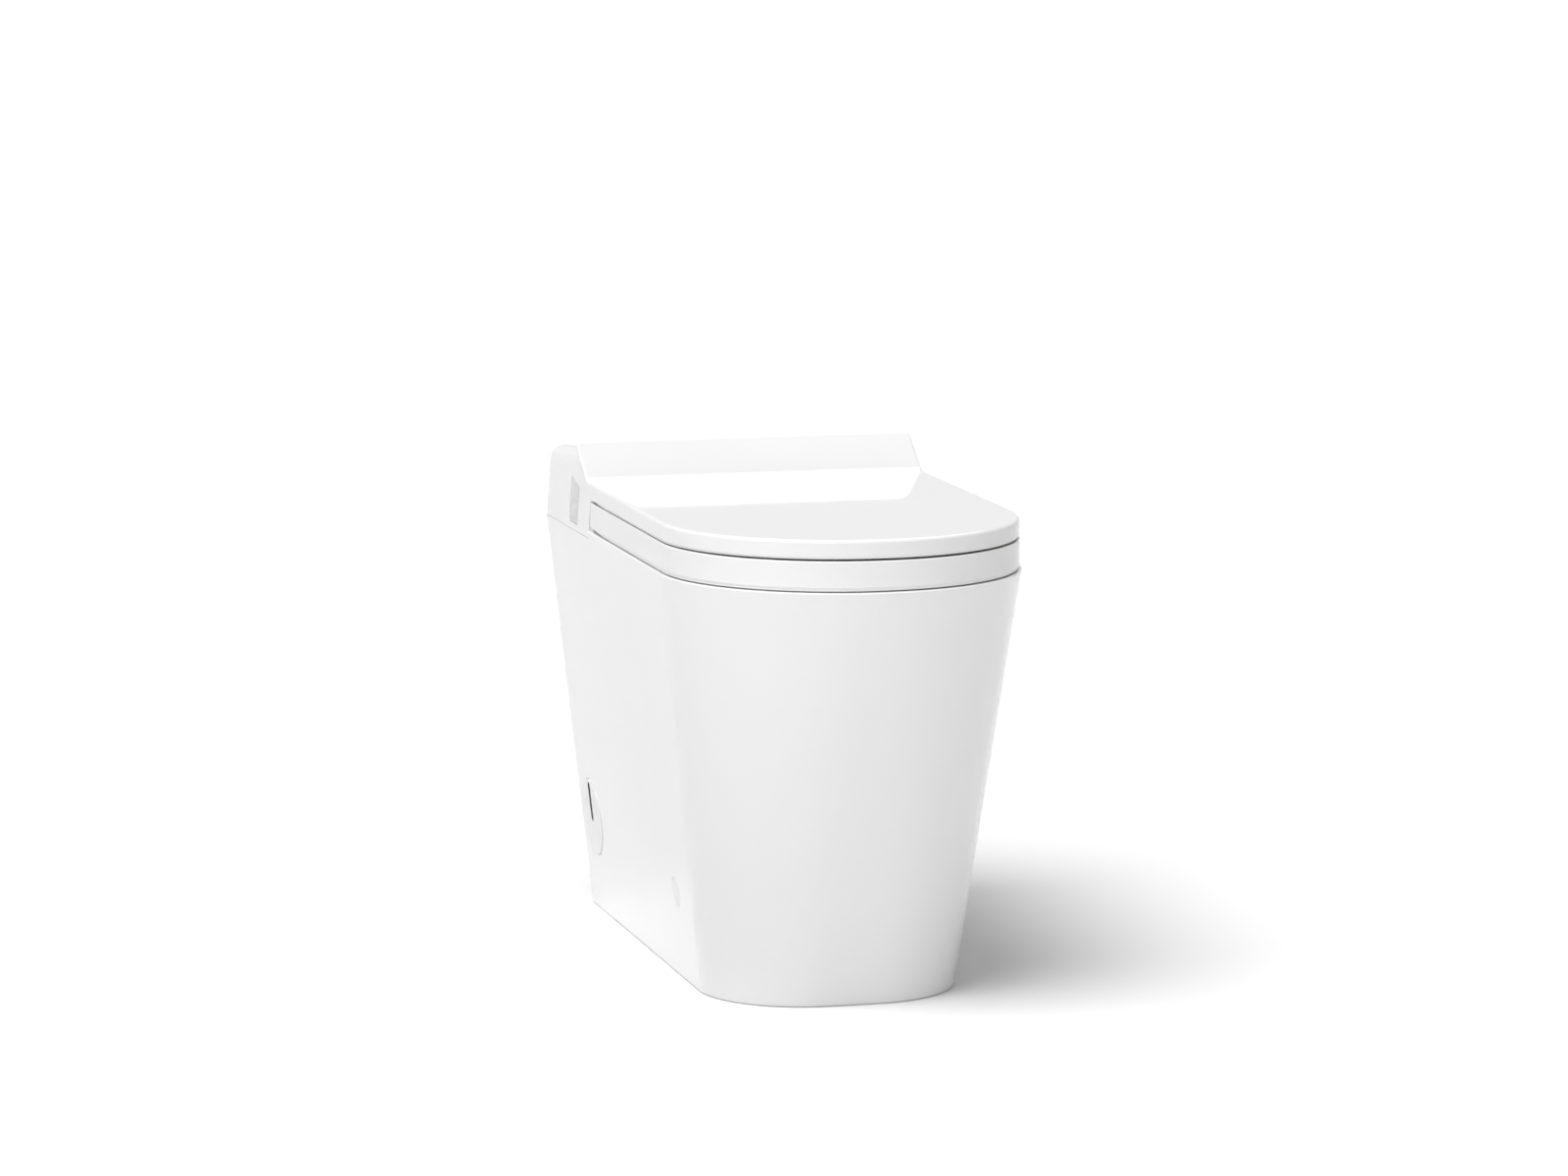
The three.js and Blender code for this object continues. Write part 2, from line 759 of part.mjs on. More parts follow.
function ceramicBody() {
  const skirt = cut(
    skirtSolid(),
    skirtHollow(),
    box(-rimHalfWidth, rimHalfWidth, deckFrontY, bodyBack + overrun, deckHeight, rimHeight + overrun),
    box(
      skirtWall - bodySize(hollowTop).halfWidth,
      bodySize(hollowTop).halfWidth - skirtWall,
      rearHollowFrontY,
      bodyBack - skirtWall,
      hollowTop - overrun,
      deckHeight - deckThickness,
    ),
  );
  const trap = tube(trapRoute, trapBoreRadius + trapWall, pipeSteps);
  const walls = join(skirt, bowlSolid(bowlWall, -overrun), trap);
  const wellBackY = bodyBack - wellBackMargin;
  const well = roundedPlate(2 * wellHalfWidth, wellBackY - wellFrontY, wellCornerRadius)
    .getPoints(arcSteps)
    .map((point) => new THREE.Vector2(point.x, point.y + (wellFrontY + wellBackY) / 2));
  const arch = new THREE.Shape();
  arch.moveTo(-backArchHalfWidth, -overrun);
  arch.lineTo(backArchHalfWidth, -overrun);
  arch.lineTo(backArchHalfWidth, backArchHeight - backArchHalfWidth);
  arch.absarc(0, backArchHeight - backArchHalfWidth, backArchHalfWidth, 0, Math.PI);
  let body = cut(
    walls,
    bowlSolid(0, overrun),
    tube(boreRoute, trapBoreRadius, pipeSteps),
    box(-notchHalfWidth, notchHalfWidth, bowlCentreY, notchBackY, notchFloorHeight, rimHeight + overrun),
    prismZ(well, deckHeight - deckThickness - overrun, deckHeight + overrun),
    extrudeY(arch, bodyBack - skirtWall - overrun, bodyBack + overrun, archSteps),
  );
  for (const sign of [-1, 1]) {
    const hole = rodX(accessRadius + seatGap, -skirtWall - overrun, skirtWall + overrun, 0, 0);
    const cap = rodX(capRadius + seatGap, -capDepth, capDepth + overrun, 0, 0);
    const screw = join(
      rodX(screwRadius + runGap, -skirtWall - overrun, skirtWall, 0, 0, smallSides),
      rodX(screwHeadRadius + runGap, screwSeat, 0, 0, 0, smallSides),
    );
    const boltHole = rodZ(
      deckBoltRadius + runGap,
      deckHeight - deckThickness - overrun,
      deckHeight + overrun,
      sign * deckBoltX,
      deckBoltY,
      smallSides,
    );
    body = cut(
      body,
      onSide(sign, accessY, accessHeight, facing(sign, hole)),
      onSide(sign, capY, capHeight, facing(sign, cap)),
      onSide(sign, capY, capHeight, facing(sign, screw)),
      boltHole,
    );
  }
  const port = rodY(pipeRadius + runGap, bowlCentreY, rearHollowFrontY, cradleX, pipePortHeight, smallSides);
  return cut(body, port);
}

addPiece('ceramic_body', ceramicBody(), glaze);

// Drain: a socketed elbow carries the waste from the spigot to the floor outlet.
const spigotRadius = trapBoreRadius + trapWall;
const socketTop = spigotEndHeight + socketDepth;
const socketInner = spigotRadius + gasketThickness + 2 * seatGap;
const socketBottom = spigotEndHeight - seatGap - socketFloor;

function drainElbow() {
  const corners = [
    [spigotY, socketBottom],
    [spigotY, elbowRunHeight],
    [outletY, elbowRunHeight],
    [outletY, floorSealThickness + seatGap],
  ];
  const boreCorners = corners.map(([y, z], i) => [y, z + [overrun + socketFloor, 0, 0, -overrun][i]]);
  const pipe = tube(bentRoute(0, corners, elbowBendRadius), trapBoreRadius + elbowWall, pipeSteps);
  const socket = rodZ(socketInner + socketWall, socketBottom, socketTop, 0, spigotY);
  const flangeBottom = floorSealThickness + seatGap;
  const flange = rodZ(flangeRadius, flangeBottom, flangeBottom + flangeThickness, 0, outletY);
  return cut(
    join(pipe, socket, flange),
    rodZ(socketInner, socketBottom + socketFloor, socketTop + overrun, 0, spigotY),
    tube(bentRoute(0, boreCorners, elbowBendRadius), trapBoreRadius, pipeSteps),
  );
}

addPiece('drain_elbow', drainElbow(), pipePlastic);

addPiece('drain_gasket', latheZ([
  [spigotRadius + seatGap, socketTop - gasketHeight],
  [spigotRadius + seatGap + gasketThickness, socketTop - gasketHeight],
  [spigotRadius + seatGap + gasketThickness, socketTop],
  [spigotRadius + seatGap, socketTop],
], 0, spigotY), sealRubber);

addPiece('floor_seal', latheZ([
  [flangeRadius - floorSealWidth, 0],
  [flangeRadius, 0],
  [flangeRadius, floorSealThickness],
  [flangeRadius - floorSealWidth, floorSealThickness],
], 0, outletY), sealRubber);

// Fittings on the skirt: access covers, bolt caps, side screws and floor brackets.
function accessCover() {
  const plug = rodX(accessRadius, -accessThickness, 0, 0, 0);
  const hollow = rodX(accessRadius - accessLip, -accessThickness - overrun, -accessLip, 0, 0);
  const slot = new THREE.Shape();
  const slotTop = accessRadius - slotTopMargin;
  slot.moveTo(-slotWidth / 2, 0);
  slot.absarc(0, 0, slotWidth / 2, Math.PI, 2 * Math.PI);
  slot.absarc(0, slotTop - slotWidth / 2, slotWidth / 2, 0, Math.PI);
  return cut(plug, hollow, extrudeX(slot, -accessThickness - overrun, overrun));
}

function sideBracket(sign) {
  const low = bodySize(0).halfWidth - skirtWall / Math.cos(sideLean) - seatGap;
  const high = low + bracketHeight * Math.tan(sideLean);
  const lean = new THREE.Shape();
  lean.moveTo(low, 0);
  lean.lineTo(high, bracketHeight);
  lean.lineTo(high - bracketThickness, bracketHeight);
  lean.lineTo(low - bracketThickness, bracketThickness);
  lean.lineTo(low - bracketFoot, bracketThickness);
  lean.lineTo(low - bracketFoot, 0);
  const plate = extrudeY(lean, capY - bracketWidth / 2, capY + bracketWidth / 2);
  const gusset = new THREE.Shape();
  gusset.moveTo(low - bracketThickness / 2, bracketThickness / 2);
  gusset.lineTo(low - bracketThickness / 2, bracketFoot);
  gusset.lineTo(low - bracketFoot, bracketThickness / 2);
  const rib = extrudeY(gusset, capY - bracketThickness / 2, capY + bracketThickness / 2);
  const floorHoleX = low - bracketFoot / 2;
  const floorHoleY = capY + bracketWidth / 4;
  const holed = cut(
    join(plate, rib),
    rodZ(screwRadius, -overrun, bracketThickness + overrun, floorHoleX, floorHoleY, smallSides),
  );
  const screwHole = rodX(screwRadius + runGap, -screwLength - overrun, overrun, 0, 0, smallSides);
  return facing(sign, cut(holed, onSide(1, capY, capHeight, screwHole)));
}

onBothSides((side, sign) => {
  const coverGroup = sideGroup(sign, accessY, accessHeight);
  const capGroup = sideGroup(sign, capY, capHeight);
  smartToilet.add(coverGroup, capGroup);
  addPiece(`access_cover_${side}`, facing(sign, accessCover()), whitePlastic, coverGroup);
  const cap = rodX(capRadius, seatGap - capDepth, 0, 0, 0);
  addPiece(`bolt_cap_${side}`, facing(sign, cap), whitePlastic, capGroup);
  const screw = join(
    rodX(screwRadius, -screwLength, -capDepth, 0, 0, smallSides),
    rodX(screwHeadRadius, screwSeat + seatGap, -capDepth, 0, 0, smallSides),
  );
  addPiece(`side_screw_${side}`, facing(sign, screw), steel, capGroup);
  addPiece(`floor_bracket_${side}`, sideBracket(sign), steel);
});

// Seat ring: a padded-edge ring with a recess below for the heater and the underside cover.
const ringSize = {
  halfWidth: ringHalfWidth,
  front: bodyFront + ringFrontInset,
  corner: rimCornerRadius - (rimHalfWidth - ringHalfWidth),
  nose: rimNoseRadius,
  back: ringBackY,
  backCorner: ringBackRadius,
};

function roundedSlab(size, bottom, top, round) {
  const rings = [];
  for (let step = 0; step <= edgeSteps; step += 1) {
    const angle = (Math.PI / 2) * (1 - step / edgeSteps);
    const inset = round * (1 - Math.cos(angle));
    rings.push(atHeight(planOutline(size, inset), bottom + round * (1 - Math.sin(angle))));
  }
  for (let step = 0; step <= edgeSteps; step += 1) {
    const angle = (Math.PI / 2) * (step / edgeSteps);
    const inset = round * (1 - Math.cos(angle));
    rings.push(atHeight(planOutline(size, inset), top - round * (1 - Math.sin(angle))));
  }
  return loft(rings);
}

function ringHole(grow, bottom, top) {
  const outline = (flare) => eggOutline(
    ringHoleHalfWidth + flare,
    ringHoleFrontReach + flare,
    ringHoleRearReach + flare,
    bowlCentreY,
  );
  return loft([
    atHeight(outline(grow), bottom - overrun),
    atHeight(outline(grow), bottom + (top - bottom) * flareStartShare),
    atHeight(outline(grow + ringHoleFlare * flareMidShare), top - ringEdgeRound),
    atHeight(outline(grow + ringHoleFlare), top),
    atHeight(outline(grow + ringHoleFlare), top + overrun),
  ]);
}

function armProfile(startY, startHeight, halfThickness) {
  const lean = Math.atan2(hingeHeight - startHeight, hingeY - startY);
  const dy = halfThickness * Math.sin(lean);
  const dz = halfThickness * Math.cos(lean);
  const shape = new THREE.Shape();
  shape.moveTo(startY + dy, startHeight - dz);
  shape.lineTo(hingeY + dy, hingeHeight - dz);
  shape.lineTo(hingeY - dy, hingeHeight + dz);
  shape.lineTo(startY - dy, startHeight + dz);
  return shape;
}

function hingeArm(near, startY, startHeight, halfThickness, sign) {
  const [x0, x1] = spanX(sign, near, near + knuckleWidth);
  const knuckle = rodX(knuckleRadius, x0, x1, hingeY, hingeHeight, smallSides);
  return join(extrudeX(armProfile(startY, startHeight, halfThickness), x0, x1), knuckle);
}

const shaftHole = rodX(shaftRadius + runGap, -rimHalfWidth, rimHalfWidth, hingeY, hingeHeight, smallSides);

function seatRing() {
  const slab = roundedSlab(ringSize, ringBottomHeight, ringTopHeight, ringEdgeRound);
  const recess = prismZ(
    planOutline(ringSize, ringRecessInset),
    ringBottomHeight - overrun,
    ringBottomHeight + ringRecessDepth,
  );
  const rail = ringHole(ringRecessInset, ringBottomHeight, ringTopHeight);
  const ring = join(
    cut(slab, cut(recess, rail)),
    hingeArm(seatKnuckleX, seatArmStartY, seatArmStartHeight, seatArmHalfThickness, -1),
    hingeArm(seatKnuckleX, seatArmStartY, seatArmStartHeight, seatArmHalfThickness, 1),
  );
  return cut(ring, ringHole(0, ringBottomHeight, ringTopHeight), shaftHole);
}

addPiece('seat_ring', seatRing(), whitePlastic);

function recessPlate(bottom, top) {
  const outline = planOutline(ringSize, ringRecessInset + seatGap);
  const grow = ringRecessInset + seatGap;
  const hole = prismZ(
    eggOutline(
      ringHoleHalfWidth + grow,
      ringHoleFrontReach + grow,
      ringHoleRearReach + grow,
      bowlCentreY,
    ),
    bottom - overrun,
    top + overrun,
  );
  return cut(prismZ(outline, bottom, top), hole);
}

const recessTop = ringBottomHeight + ringRecessDepth;
const heaterBottom = recessTop - seatGap - heaterThickness;
addPiece('seat_heater', recessPlate(heaterBottom, recessTop - seatGap), copperFilm);
addPiece('seat_underside', recessPlate(ringBottomHeight, heaterBottom - seatGap), whitePlastic);

function stadium(length, width) {
  const shape = new THREE.Shape();
  const reach = (length - width) / 2;
  shape.absarc(reach, 0, width / 2, -Math.PI / 2, Math.PI / 2);
  shape.absarc(-reach, 0, width / 2, Math.PI / 2, 1.5 * Math.PI);
  const depth = ringBottomHeight - rimHeight - 2 * seatGap;
  return new THREE.ExtrudeGeometry(shape, { depth, bevelEnabled: false, curveSegments: arcSteps });
}

for (const [end, y] of [['front', seatBumperFrontY], ['rear', seatBumperRearY]]) {
  onBothSides((side, sign) => {
    const bumper = addPiece(`seat_bumper_${end}_${side}`, stadium(seatBumperLength, seatBumperWidth), rubber);
    bumper.position.set(sign * (ringHalfWidth - seatBumperEdge), y, rimHeight + seatGap);
    bumper.rotation.z = Math.PI / 2;
  });
}

// Lid: a flat slab whose rear sweeps up over the hinge into a full-width upstand.
const lidSize = {
  halfWidth: lidHalfWidth,
  front: bodyFront + lidFrontInset,
  corner: rimCornerRadius,
  nose: rimNoseRadius,
  back: lidFlatBackY,
};

// The sweep is lofted through sections that join a point of its underside to one of its top.
function lidSweep() {
  const startY = deckFrontY - lidThickness;
  const underEnd = lidEndHeight - lidEndThickness;
  const headRun = (underEnd - sweepHeadHeight) / sweepRise;
  const under = new THREE.Path();
  under.moveTo(startY, lidBottomHeight);
  under.lineTo(lidFlatBackY, lidBottomHeight);
  under.quadraticCurveTo(
    sweepFootY - sweepFootRise / sweepRise,
    lidBottomHeight,
    sweepFootY,
    lidBottomHeight + sweepFootRise,
  );
  under.lineTo(sweepHeadY, sweepHeadHeight);
  under.quadraticCurveTo(sweepHeadY + headRun, underEnd, lidEndY, underEnd);
  const top = new THREE.Path();
  const topFootHeight = sweepTopHeadHeight - (sweepTopHeadY - sweepTopFootY) * sweepRise;
  top.moveTo(startY, lidTopHeight);
  top.lineTo(sweepFootY - sweepFootRise / sweepRise, lidTopHeight);
  top.quadraticCurveTo(
    sweepTopFootY - (topFootHeight - lidTopHeight) / sweepRise,
    lidTopHeight,
    sweepTopFootY,
    topFootHeight,
  );
  top.lineTo(sweepTopHeadY, sweepTopHeadHeight);
  top.quadraticCurveTo(
    sweepTopHeadY + (lidEndHeight - sweepTopHeadHeight) / sweepRise,
    lidEndHeight,
    lidEndY - lidEndRound,
    lidEndHeight,
  );
  const divisions = [1, curveSteps, slopeSteps, curveSteps];
  const sample = (path) => path.curves.flatMap((curve, i) => (
    curve.getPoints(divisions[i]).slice(i > 0 ? 1 : 0)
  ));
  const highs = sample(top);
  const rings = sample(under).map((low, i) => sweepSection(low, highs[i]));
  return loft(rings, fromBehind);
}

// One section: rounded along both side edges, and drawn in near the top by the upstand's corner arc.
function sweepSection(low, high) {
  const thickness = low.distanceTo(high);
  const round = Math.min(lidEdgeRound, thickness * sweepRoundShare);
  const above = Math.max(high.y - lidEndHeight + lidCornerRadius, 0);
  const drawIn = lidCornerRadius - Math.sqrt(Math.max(lidCornerRadius ** 2 - above ** 2, 0));
  const side = [];
  const steps = Array.from({ length: edgeSteps + 1 }, (_, step) => (Math.PI / 2) * (step / edgeSteps));
  const place = (inset, share) => side.push([
    lidHalfWidth - drawIn - inset,
    low.x + (high.x - low.x) * share,
    low.y + (high.y - low.y) * share,
  ]);
  steps.forEach((angle) => place(round * (1 - Math.sin(angle)), (round * (1 - Math.cos(angle))) / thickness));
  steps.forEach((angle) => (
    place(round * (1 - Math.cos(angle)), 1 - (round * (1 - Math.sin(angle))) / thickness)
  ));
  return [
    ...side.map(([x, y, z]) => new THREE.Vector3(-x, y, z)),
    ...side.reverse().map(([x, y, z]) => new THREE.Vector3(x, y, z)),
  ];
}

function lidCavity(inset, bottom, top) {
  return prismZ(planOutline(lidSize, inset), bottom, top);
}

function lidSolid() {
  const cavityTop = lidTopHeight - lidShell;
  const panelTop = lidBottomHeight + lidPanelThickness + seatGap;
  const ribs = [];
  for (let y = lidFlatBackY - lidRibSpacing; y > lidSize.front; y -= lidRibSpacing) {
    ribs.push(box(-lidHalfWidth, lidHalfWidth, y, y + lidRibThickness, panelTop, cavityTop + overrun));
  }
  ribs.push(box(0, lidRibThickness, lidSize.front, lidFlatBackY, panelTop, cavityTop + overrun));
  const slab = cut(
    roundedSlab(lidSize, lidBottomHeight, lidTopHeight, lidEdgeRound),
    lidCavity(lidRim, lidBottomHeight - overrun, lidBottomHeight + lidPanelThickness + seatGap),
    cut(lidCavity(lidRim + lidRibThickness, lidBottomHeight, cavityTop), ...ribs),
  );
  const arms = [-1, 1].map((sign) => (
    hingeArm(lidKnuckleX, lidArmStartY, lidArmStartHeight, lidArmHalfThickness, sign)
  ));
  return cut(join(slab, lidSweep(), ...arms), shaftHole);
}

addPiece('lid', lidSolid(), whitePlastic);
addPiece(
  'lid_underside',
  lidCavity(lidRim + seatGap, lidBottomHeight, lidBottomHeight + lidPanelThickness),
  whitePlastic,
);

onBothSides((side, sign) => {
  const height = lidBottomHeight - ringTopHeight - 2 * seatGap;
  const pad = new THREE.CylinderGeometry(lidBumperRadius, lidBumperRadius, height, smallSides);
  const bumper = addPiece(`lid_bumper_${side}`, pad, rubber);
  bumper.rotation.x = Math.PI / 2;
  const z = lidBottomHeight - seatGap - height / 2;
  bumper.position.set(sign * (lidHalfWidth - lidBumperEdge), lidBumperFrontY, z);
});

// Rear housing: three outlines, from the side, the front and above, bound the moulded shell.
const slopeDrop = lidGap * Math.hypot(1, sweepRise);

function housingSide(inset) {
  const slope = (y) => lidBottomHeight + sweepFootRise + (y - sweepFootY) * sweepRise - slopeDrop;
  const front = housingFrontY + inset;
  const back = bodyBack - inset;
  const lower = inset * Math.hypot(1, sweepRise);
  const crestY = sweepHeadY + lidEndThickness;
  const crest = housingCrest - inset;
  const crownEnd = crest - housingCrownDrop;
  const shape = new THREE.Shape();
  shape.moveTo(front, plateBottom - (inset > 0 ? overrun : 0));
  shape.lineTo(front, slope(front) - lower);
  shape.lineTo(sweepHeadY, slope(sweepHeadY) - lower);
  shape.lineTo(crestY, Math.min(slope(crestY) - lower, crest));
  shape.lineTo(crestY + lidEndThickness, crest);
  shape.lineTo(crestY + lidEndThickness + housingCrownRun, crownEnd);
  shape.lineTo(back - housingEdgeRadius, housingBackHeight - inset);
  const backTop = housingBackHeight - inset;
  shape.quadraticCurveTo(back, backTop, back, backTop - housingEdgeRadius);
  shape.lineTo(back, plateBottom - (inset > 0 ? overrun : 0));
  return shape;
}

function housingFace(inset) {
  const low = housingHalfWidth - inset;
  const high = housingTopHalfWidth - inset;
  const top = housingCrest - inset;
  const radius = housingTopRadius - inset;
  const bottom = plateBottom - overrun;
  const shape = new THREE.Shape();
  shape.moveTo(-low, bottom);
  shape.lineTo(low, bottom);
  shape.lineTo(high, top - radius);
  shape.quadraticCurveTo(high, top, high - radius, top);
  shape.lineTo(radius - high, top);
  shape.quadraticCurveTo(-high, top, -high, top - radius);
  return shape;
}

function housingPlan(inset) {
  const shape = new THREE.Shape();
  const half = housingHalfWidth - inset;
  const front = housingFrontY + inset;
  const back = bodyBack - inset;
  const radius = Math.max(housingEdgeRadius - inset, housingInnerRadius);
  shape.moveTo(radius - half, front);
  shape.absarc(half - radius, front + radius, radius, -Math.PI / 2, 0);
  shape.lineTo(half, back);
  shape.lineTo(-half, back);
  shape.absarc(radius - half, front + radius, radius, Math.PI, 1.5 * Math.PI);
  return shape.getPoints(arcSteps);
}

function housingSolid(inset) {
  return overlapOf(
    extrudeX(housingSide(inset), -housingHalfWidth, housingHalfWidth),
    extrudeY(housingFace(inset), housingFrontY - overrun, bodyBack + overrun),
    prismZ(housingPlan(inset), plateBottom - overrun - inset, lidEndHeight + overrun),
  );
}

function armSlot(near, startY, startHeight, halfThickness, sign) {
  const [x0, x1] = spanX(sign, near - slotSideGap, near + knuckleWidth + slotSideGap);
  const radius = knuckleRadius + slotRadialGap;
  const lean = (hingeHeight - startHeight) / (hingeY - startY);
  const below = (halfThickness + slotRadialGap) * Math.hypot(1, lean);
  const shape = new THREE.Shape();
  shape.moveTo(startY - overrun, startHeight - below - overrun * lean);
  shape.lineTo(hingeY, hingeHeight - below);
  shape.lineTo(hingeY + radius, hingeHeight);
  shape.lineTo(hingeY + radius, lidEndHeight + overrun);
  shape.lineTo(startY - overrun, lidEndHeight + overrun);
  return join(extrudeX(shape, x0, x1), rodX(radius, x0, x1, hingeY, hingeHeight, smallSides));
}

// The control strip lies in a group that leans with the left wall; its X axis points inwards.
const housingLean = Math.atan2(
  housingHalfWidth - housingTopHalfWidth,
  housingCrest - housingTopRadius - plateBottom + overrun,
);
const stripGroup = new THREE.Group();
stripGroup.position.set(
  (stripLowHeight - plateBottom + overrun) * Math.tan(housingLean) - housingHalfWidth,
  stripFrontY,
  stripLowHeight,
);
stripGroup.rotation.y = housingLean;
stripGroup.updateMatrix();
smartToilet.add(stripGroup);

function inStrip(solid) {
  return solid.transform(stripGroup.matrix.toArray());
}

function stripShape(inset) {
  const shape = new THREE.Shape();
  const far = stripWidth - inset;
  const back = stripBackRise - inset;
  const front = stripFrontRise - inset;
  const radius = stripCornerRadius - inset;
  shape.moveTo(inset + radius, inset);
  shape.absarc(far - radius, inset + radius, radius, -Math.PI / 2, 0);
  shape.lineTo(far, back - radius);
  shape.quadraticCurveTo(far, back, far - radius, back);
  shape.lineTo(inset + radius, front + radius);
  shape.quadraticCurveTo(inset, front, inset, front - radius);
  shape.absarc(inset + radius, inset + radius, radius, Math.PI, 1.5 * Math.PI);
  return shape;
}

const keyMidY = stripWidth / 2;
const keyLowZ = keyGap + keyHeight / 2;
const keyHighZ = keyLowZ + keyHeight + keyGap;

function rearHousing() {
  const ribs = [-1, 1].flatMap((sign) => {
    const lidFar = lidKnuckleX + knuckleWidth + slotSideGap;
    const seatFar = seatKnuckleX + knuckleWidth + slotSideGap;
    return [
      [seatKnuckleX - slotSideGap - hingeRib, seatKnuckleX - slotSideGap],
      [seatFar, lidKnuckleX - slotSideGap],
      [lidFar, lidFar + hingeRib],
    ].map(([near, far]) => {
      const [x0, x1] = spanX(sign, near, far);
      return box(x0, x1, sweepFootY, hingeY + 2 * knuckleRadius, unitFloor, lidEndHeight);
    });
  });
  const hollow = cut(housingSolid(housingWall), ...ribs);
  const slots = [-1, 1].flatMap((sign) => [
    armSlot(seatKnuckleX, seatArmStartY, seatArmStartHeight, seatArmHalfThickness, sign),
    armSlot(lidKnuckleX, lidArmStartY, lidArmStartHeight, lidArmHalfThickness, sign),
  ]);
  const far = lidKnuckleX + knuckleWidth + hingeRib + 2 * slotSideGap;
  const bore = rodX(shaftRadius + runGap, -far, far, hingeY, hingeHeight, smallSides);
  const mouth = box(
    -mouthHalfWidth,
    mouthHalfWidth,
    housingFrontY - overrun,
    housingFrontY + housingWall + overrun,
    plateBottom - overrun,
    plateBottom + mouthHeight,
  );
  const ductMouth = box(
    ductX - ductWidth / 2,
    ductX + ductWidth / 2,
    housingFrontY - overrun,
    housingFrontY + housingWall + overrun,
    unitFloor,
    unitFloor + ductHeight,
  );
  const strip = inStrip(extrudeX(stripShape(0), -overrun, stripDepth));
  const backing = cut(
    inStrip(extrudeX(stripShape(-housingWall), housingWall / 2, stripDepth + stripBacking)),
    box(-rimHalfWidth, 0, housingFrontY, bodyBack, deckHeight - deckThickness, unitFloor),
  );
  const keyHoles = [keyLowZ, keyHighZ].map((z) => inStrip(
    rodX(keyStemRadius + runGap, 0, stripDepth + stripBacking + overrun, keyMidY, z, smallSides),
  ));
  const gland = rodY(
    glandNeckRadius,
    bodyBack - housingWall - overrun,
    bodyBack + overrun,
    glandX,
    glandHeight,
    smallSides,
  );
  return cut(
    join(cut(housingSolid(0), hollow), backing),
    strip,
    ...slots,
    ...keyHoles,
    bore,
    mouth,
    ductMouth,
    gland,
  );
}

addPiece('rear_housing', rearHousing(), whitePlastic);

const panelFaceX = stripDepth - seatGap - panelThickness;
const keyBackX = stripDepth - keyTravel - runGap;

function controlPanel() {
  const window = roundedPlate(keyWidth + 2 * runGap, keyHeight + 2 * runGap, keyCornerRadius + runGap);
  const windows = [keyLowZ, keyHighZ].map((z) => (
    extrudeX(window, panelFaceX - overrun, stripDepth + overrun).translate(0, keyMidY, z)
  ));
  return cut(extrudeX(stripShape(seatGap), panelFaceX, panelFaceX + panelThickness), ...windows);
}

addPiece('control_panel', controlPanel(), greyPlastic, stripGroup);

function sideKey() {
  return join(
    extrudeX(roundedPlate(keyWidth, keyHeight, keyCornerRadius), -keyThickness, 0),
    rodX(keyStemRadius, -keyThickness / 2, keyTravel + runGap + stripBacking, 0, 0, smallSides),
  );
}

for (const [name, z] of [['flush_button', keyHighZ], ['stop_button', keyLowZ]]) {
  const key = addPiece(name, sideKey(), greyPlastic, stripGroup);
  key.position.set(keyBackX, keyMidY, z);
}

// Base plate of the seat unit, with the ramp that carries the wand guide.
const guideUnderDrop = guideHeight / 2 / Math.cos(wandTilt) + seatGap;

function guideUnder(y) {
  return wandMouthHeight + (y - wandMouthY) * Math.tan(wandTilt) - guideUnderDrop;
}

function basePlate() {
  const half = housingHalfWidth - basePlateInset;
  const backY = bodyBack - basePlateInset;
  const ramp = new THREE.Shape();
  ramp.moveTo(rampFrontY, plateTop - basePlateThickness / 2);
  ramp.lineTo(unitBackY, plateTop - basePlateThickness / 2);
  ramp.lineTo(unitBackY, guideUnder(unitBackY));
  ramp.lineTo(rampFrontY, guideUnder(rampFrontY));
  const bolts = [-1, 1].map((sign) => (
    rodZ(
      deckBoltRadius + runGap,
      plateBottom - overrun,
      plateTop + overrun,
      sign * deckBoltX,
      deckBoltY,
      smallSides,
    )
  ));
  const plate = join(
    box(-half, half, housingFrontY + basePlateInset, backY, plateBottom, plateTop),
    extrudeX(ramp, -rampHalfWidth, rampHalfWidth),
  );
  return cut(
    plate,
    box(
      -guideCutHalfWidth,
      guideCutHalfWidth,
      housingFrontY - overrun,
      guideCutBackY,
      plateBottom - overrun,
      plateTop + overrun,
    ),
    box(
      cradleX - hoseCutHalfWidth,
      cradleX + hoseCutHalfWidth,
      hoseCutFrontY,
      hoseCutFrontY + hoseCutLength,
      plateBottom - overrun,
      plateTop + overrun,
    ),
    ...bolts,
  );
}

addPiece('base_plate', basePlate(), darkPlastic);

onBothSides((side, sign) => {
  const x = sign * deckBoltX;
  const under = deckHeight - deckThickness - seatGap;
  const head = rodZ(deckBoltHead, unitFloor, unitFloor + deckBoltHeadHeight, x, deckBoltY, 6);
  const tip = unitFloor - deckBoltLength;
  const shank = rodZ(deckBoltRadius, tip, unitFloor + deckBoltHeadHeight / 2, x, deckBoltY, smallSides);
  addPiece(`deck_bolt_${side}`, join(head, shank), steel);
  const nut = cut(
    rodZ(deckBoltHead, under - deckNutHeight, under, x, deckBoltY, 6),
    rodZ(deckBoltRadius + runGap, under - deckNutHeight - overrun, under + overrun, x, deckBoltY, smallSides),
  );
  addPiece(`deck_nut_${side}`, nut, steel);
});

// Hinge shafts and the soft-close dampers on their inner ends.
onBothSides((side, sign) => {
  const shaftNear = seatKnuckleX - slotSideGap - hingeRib;
  const shaftFar = lidKnuckleX + knuckleWidth + slotSideGap + hingeRib;
  const [x0, x1] = spanX(sign, shaftNear, shaftFar);
  addPiece(`hinge_shaft_${side}`, rodX(shaftRadius, x0, x1, hingeY, hingeHeight, smallSides), steel);
});

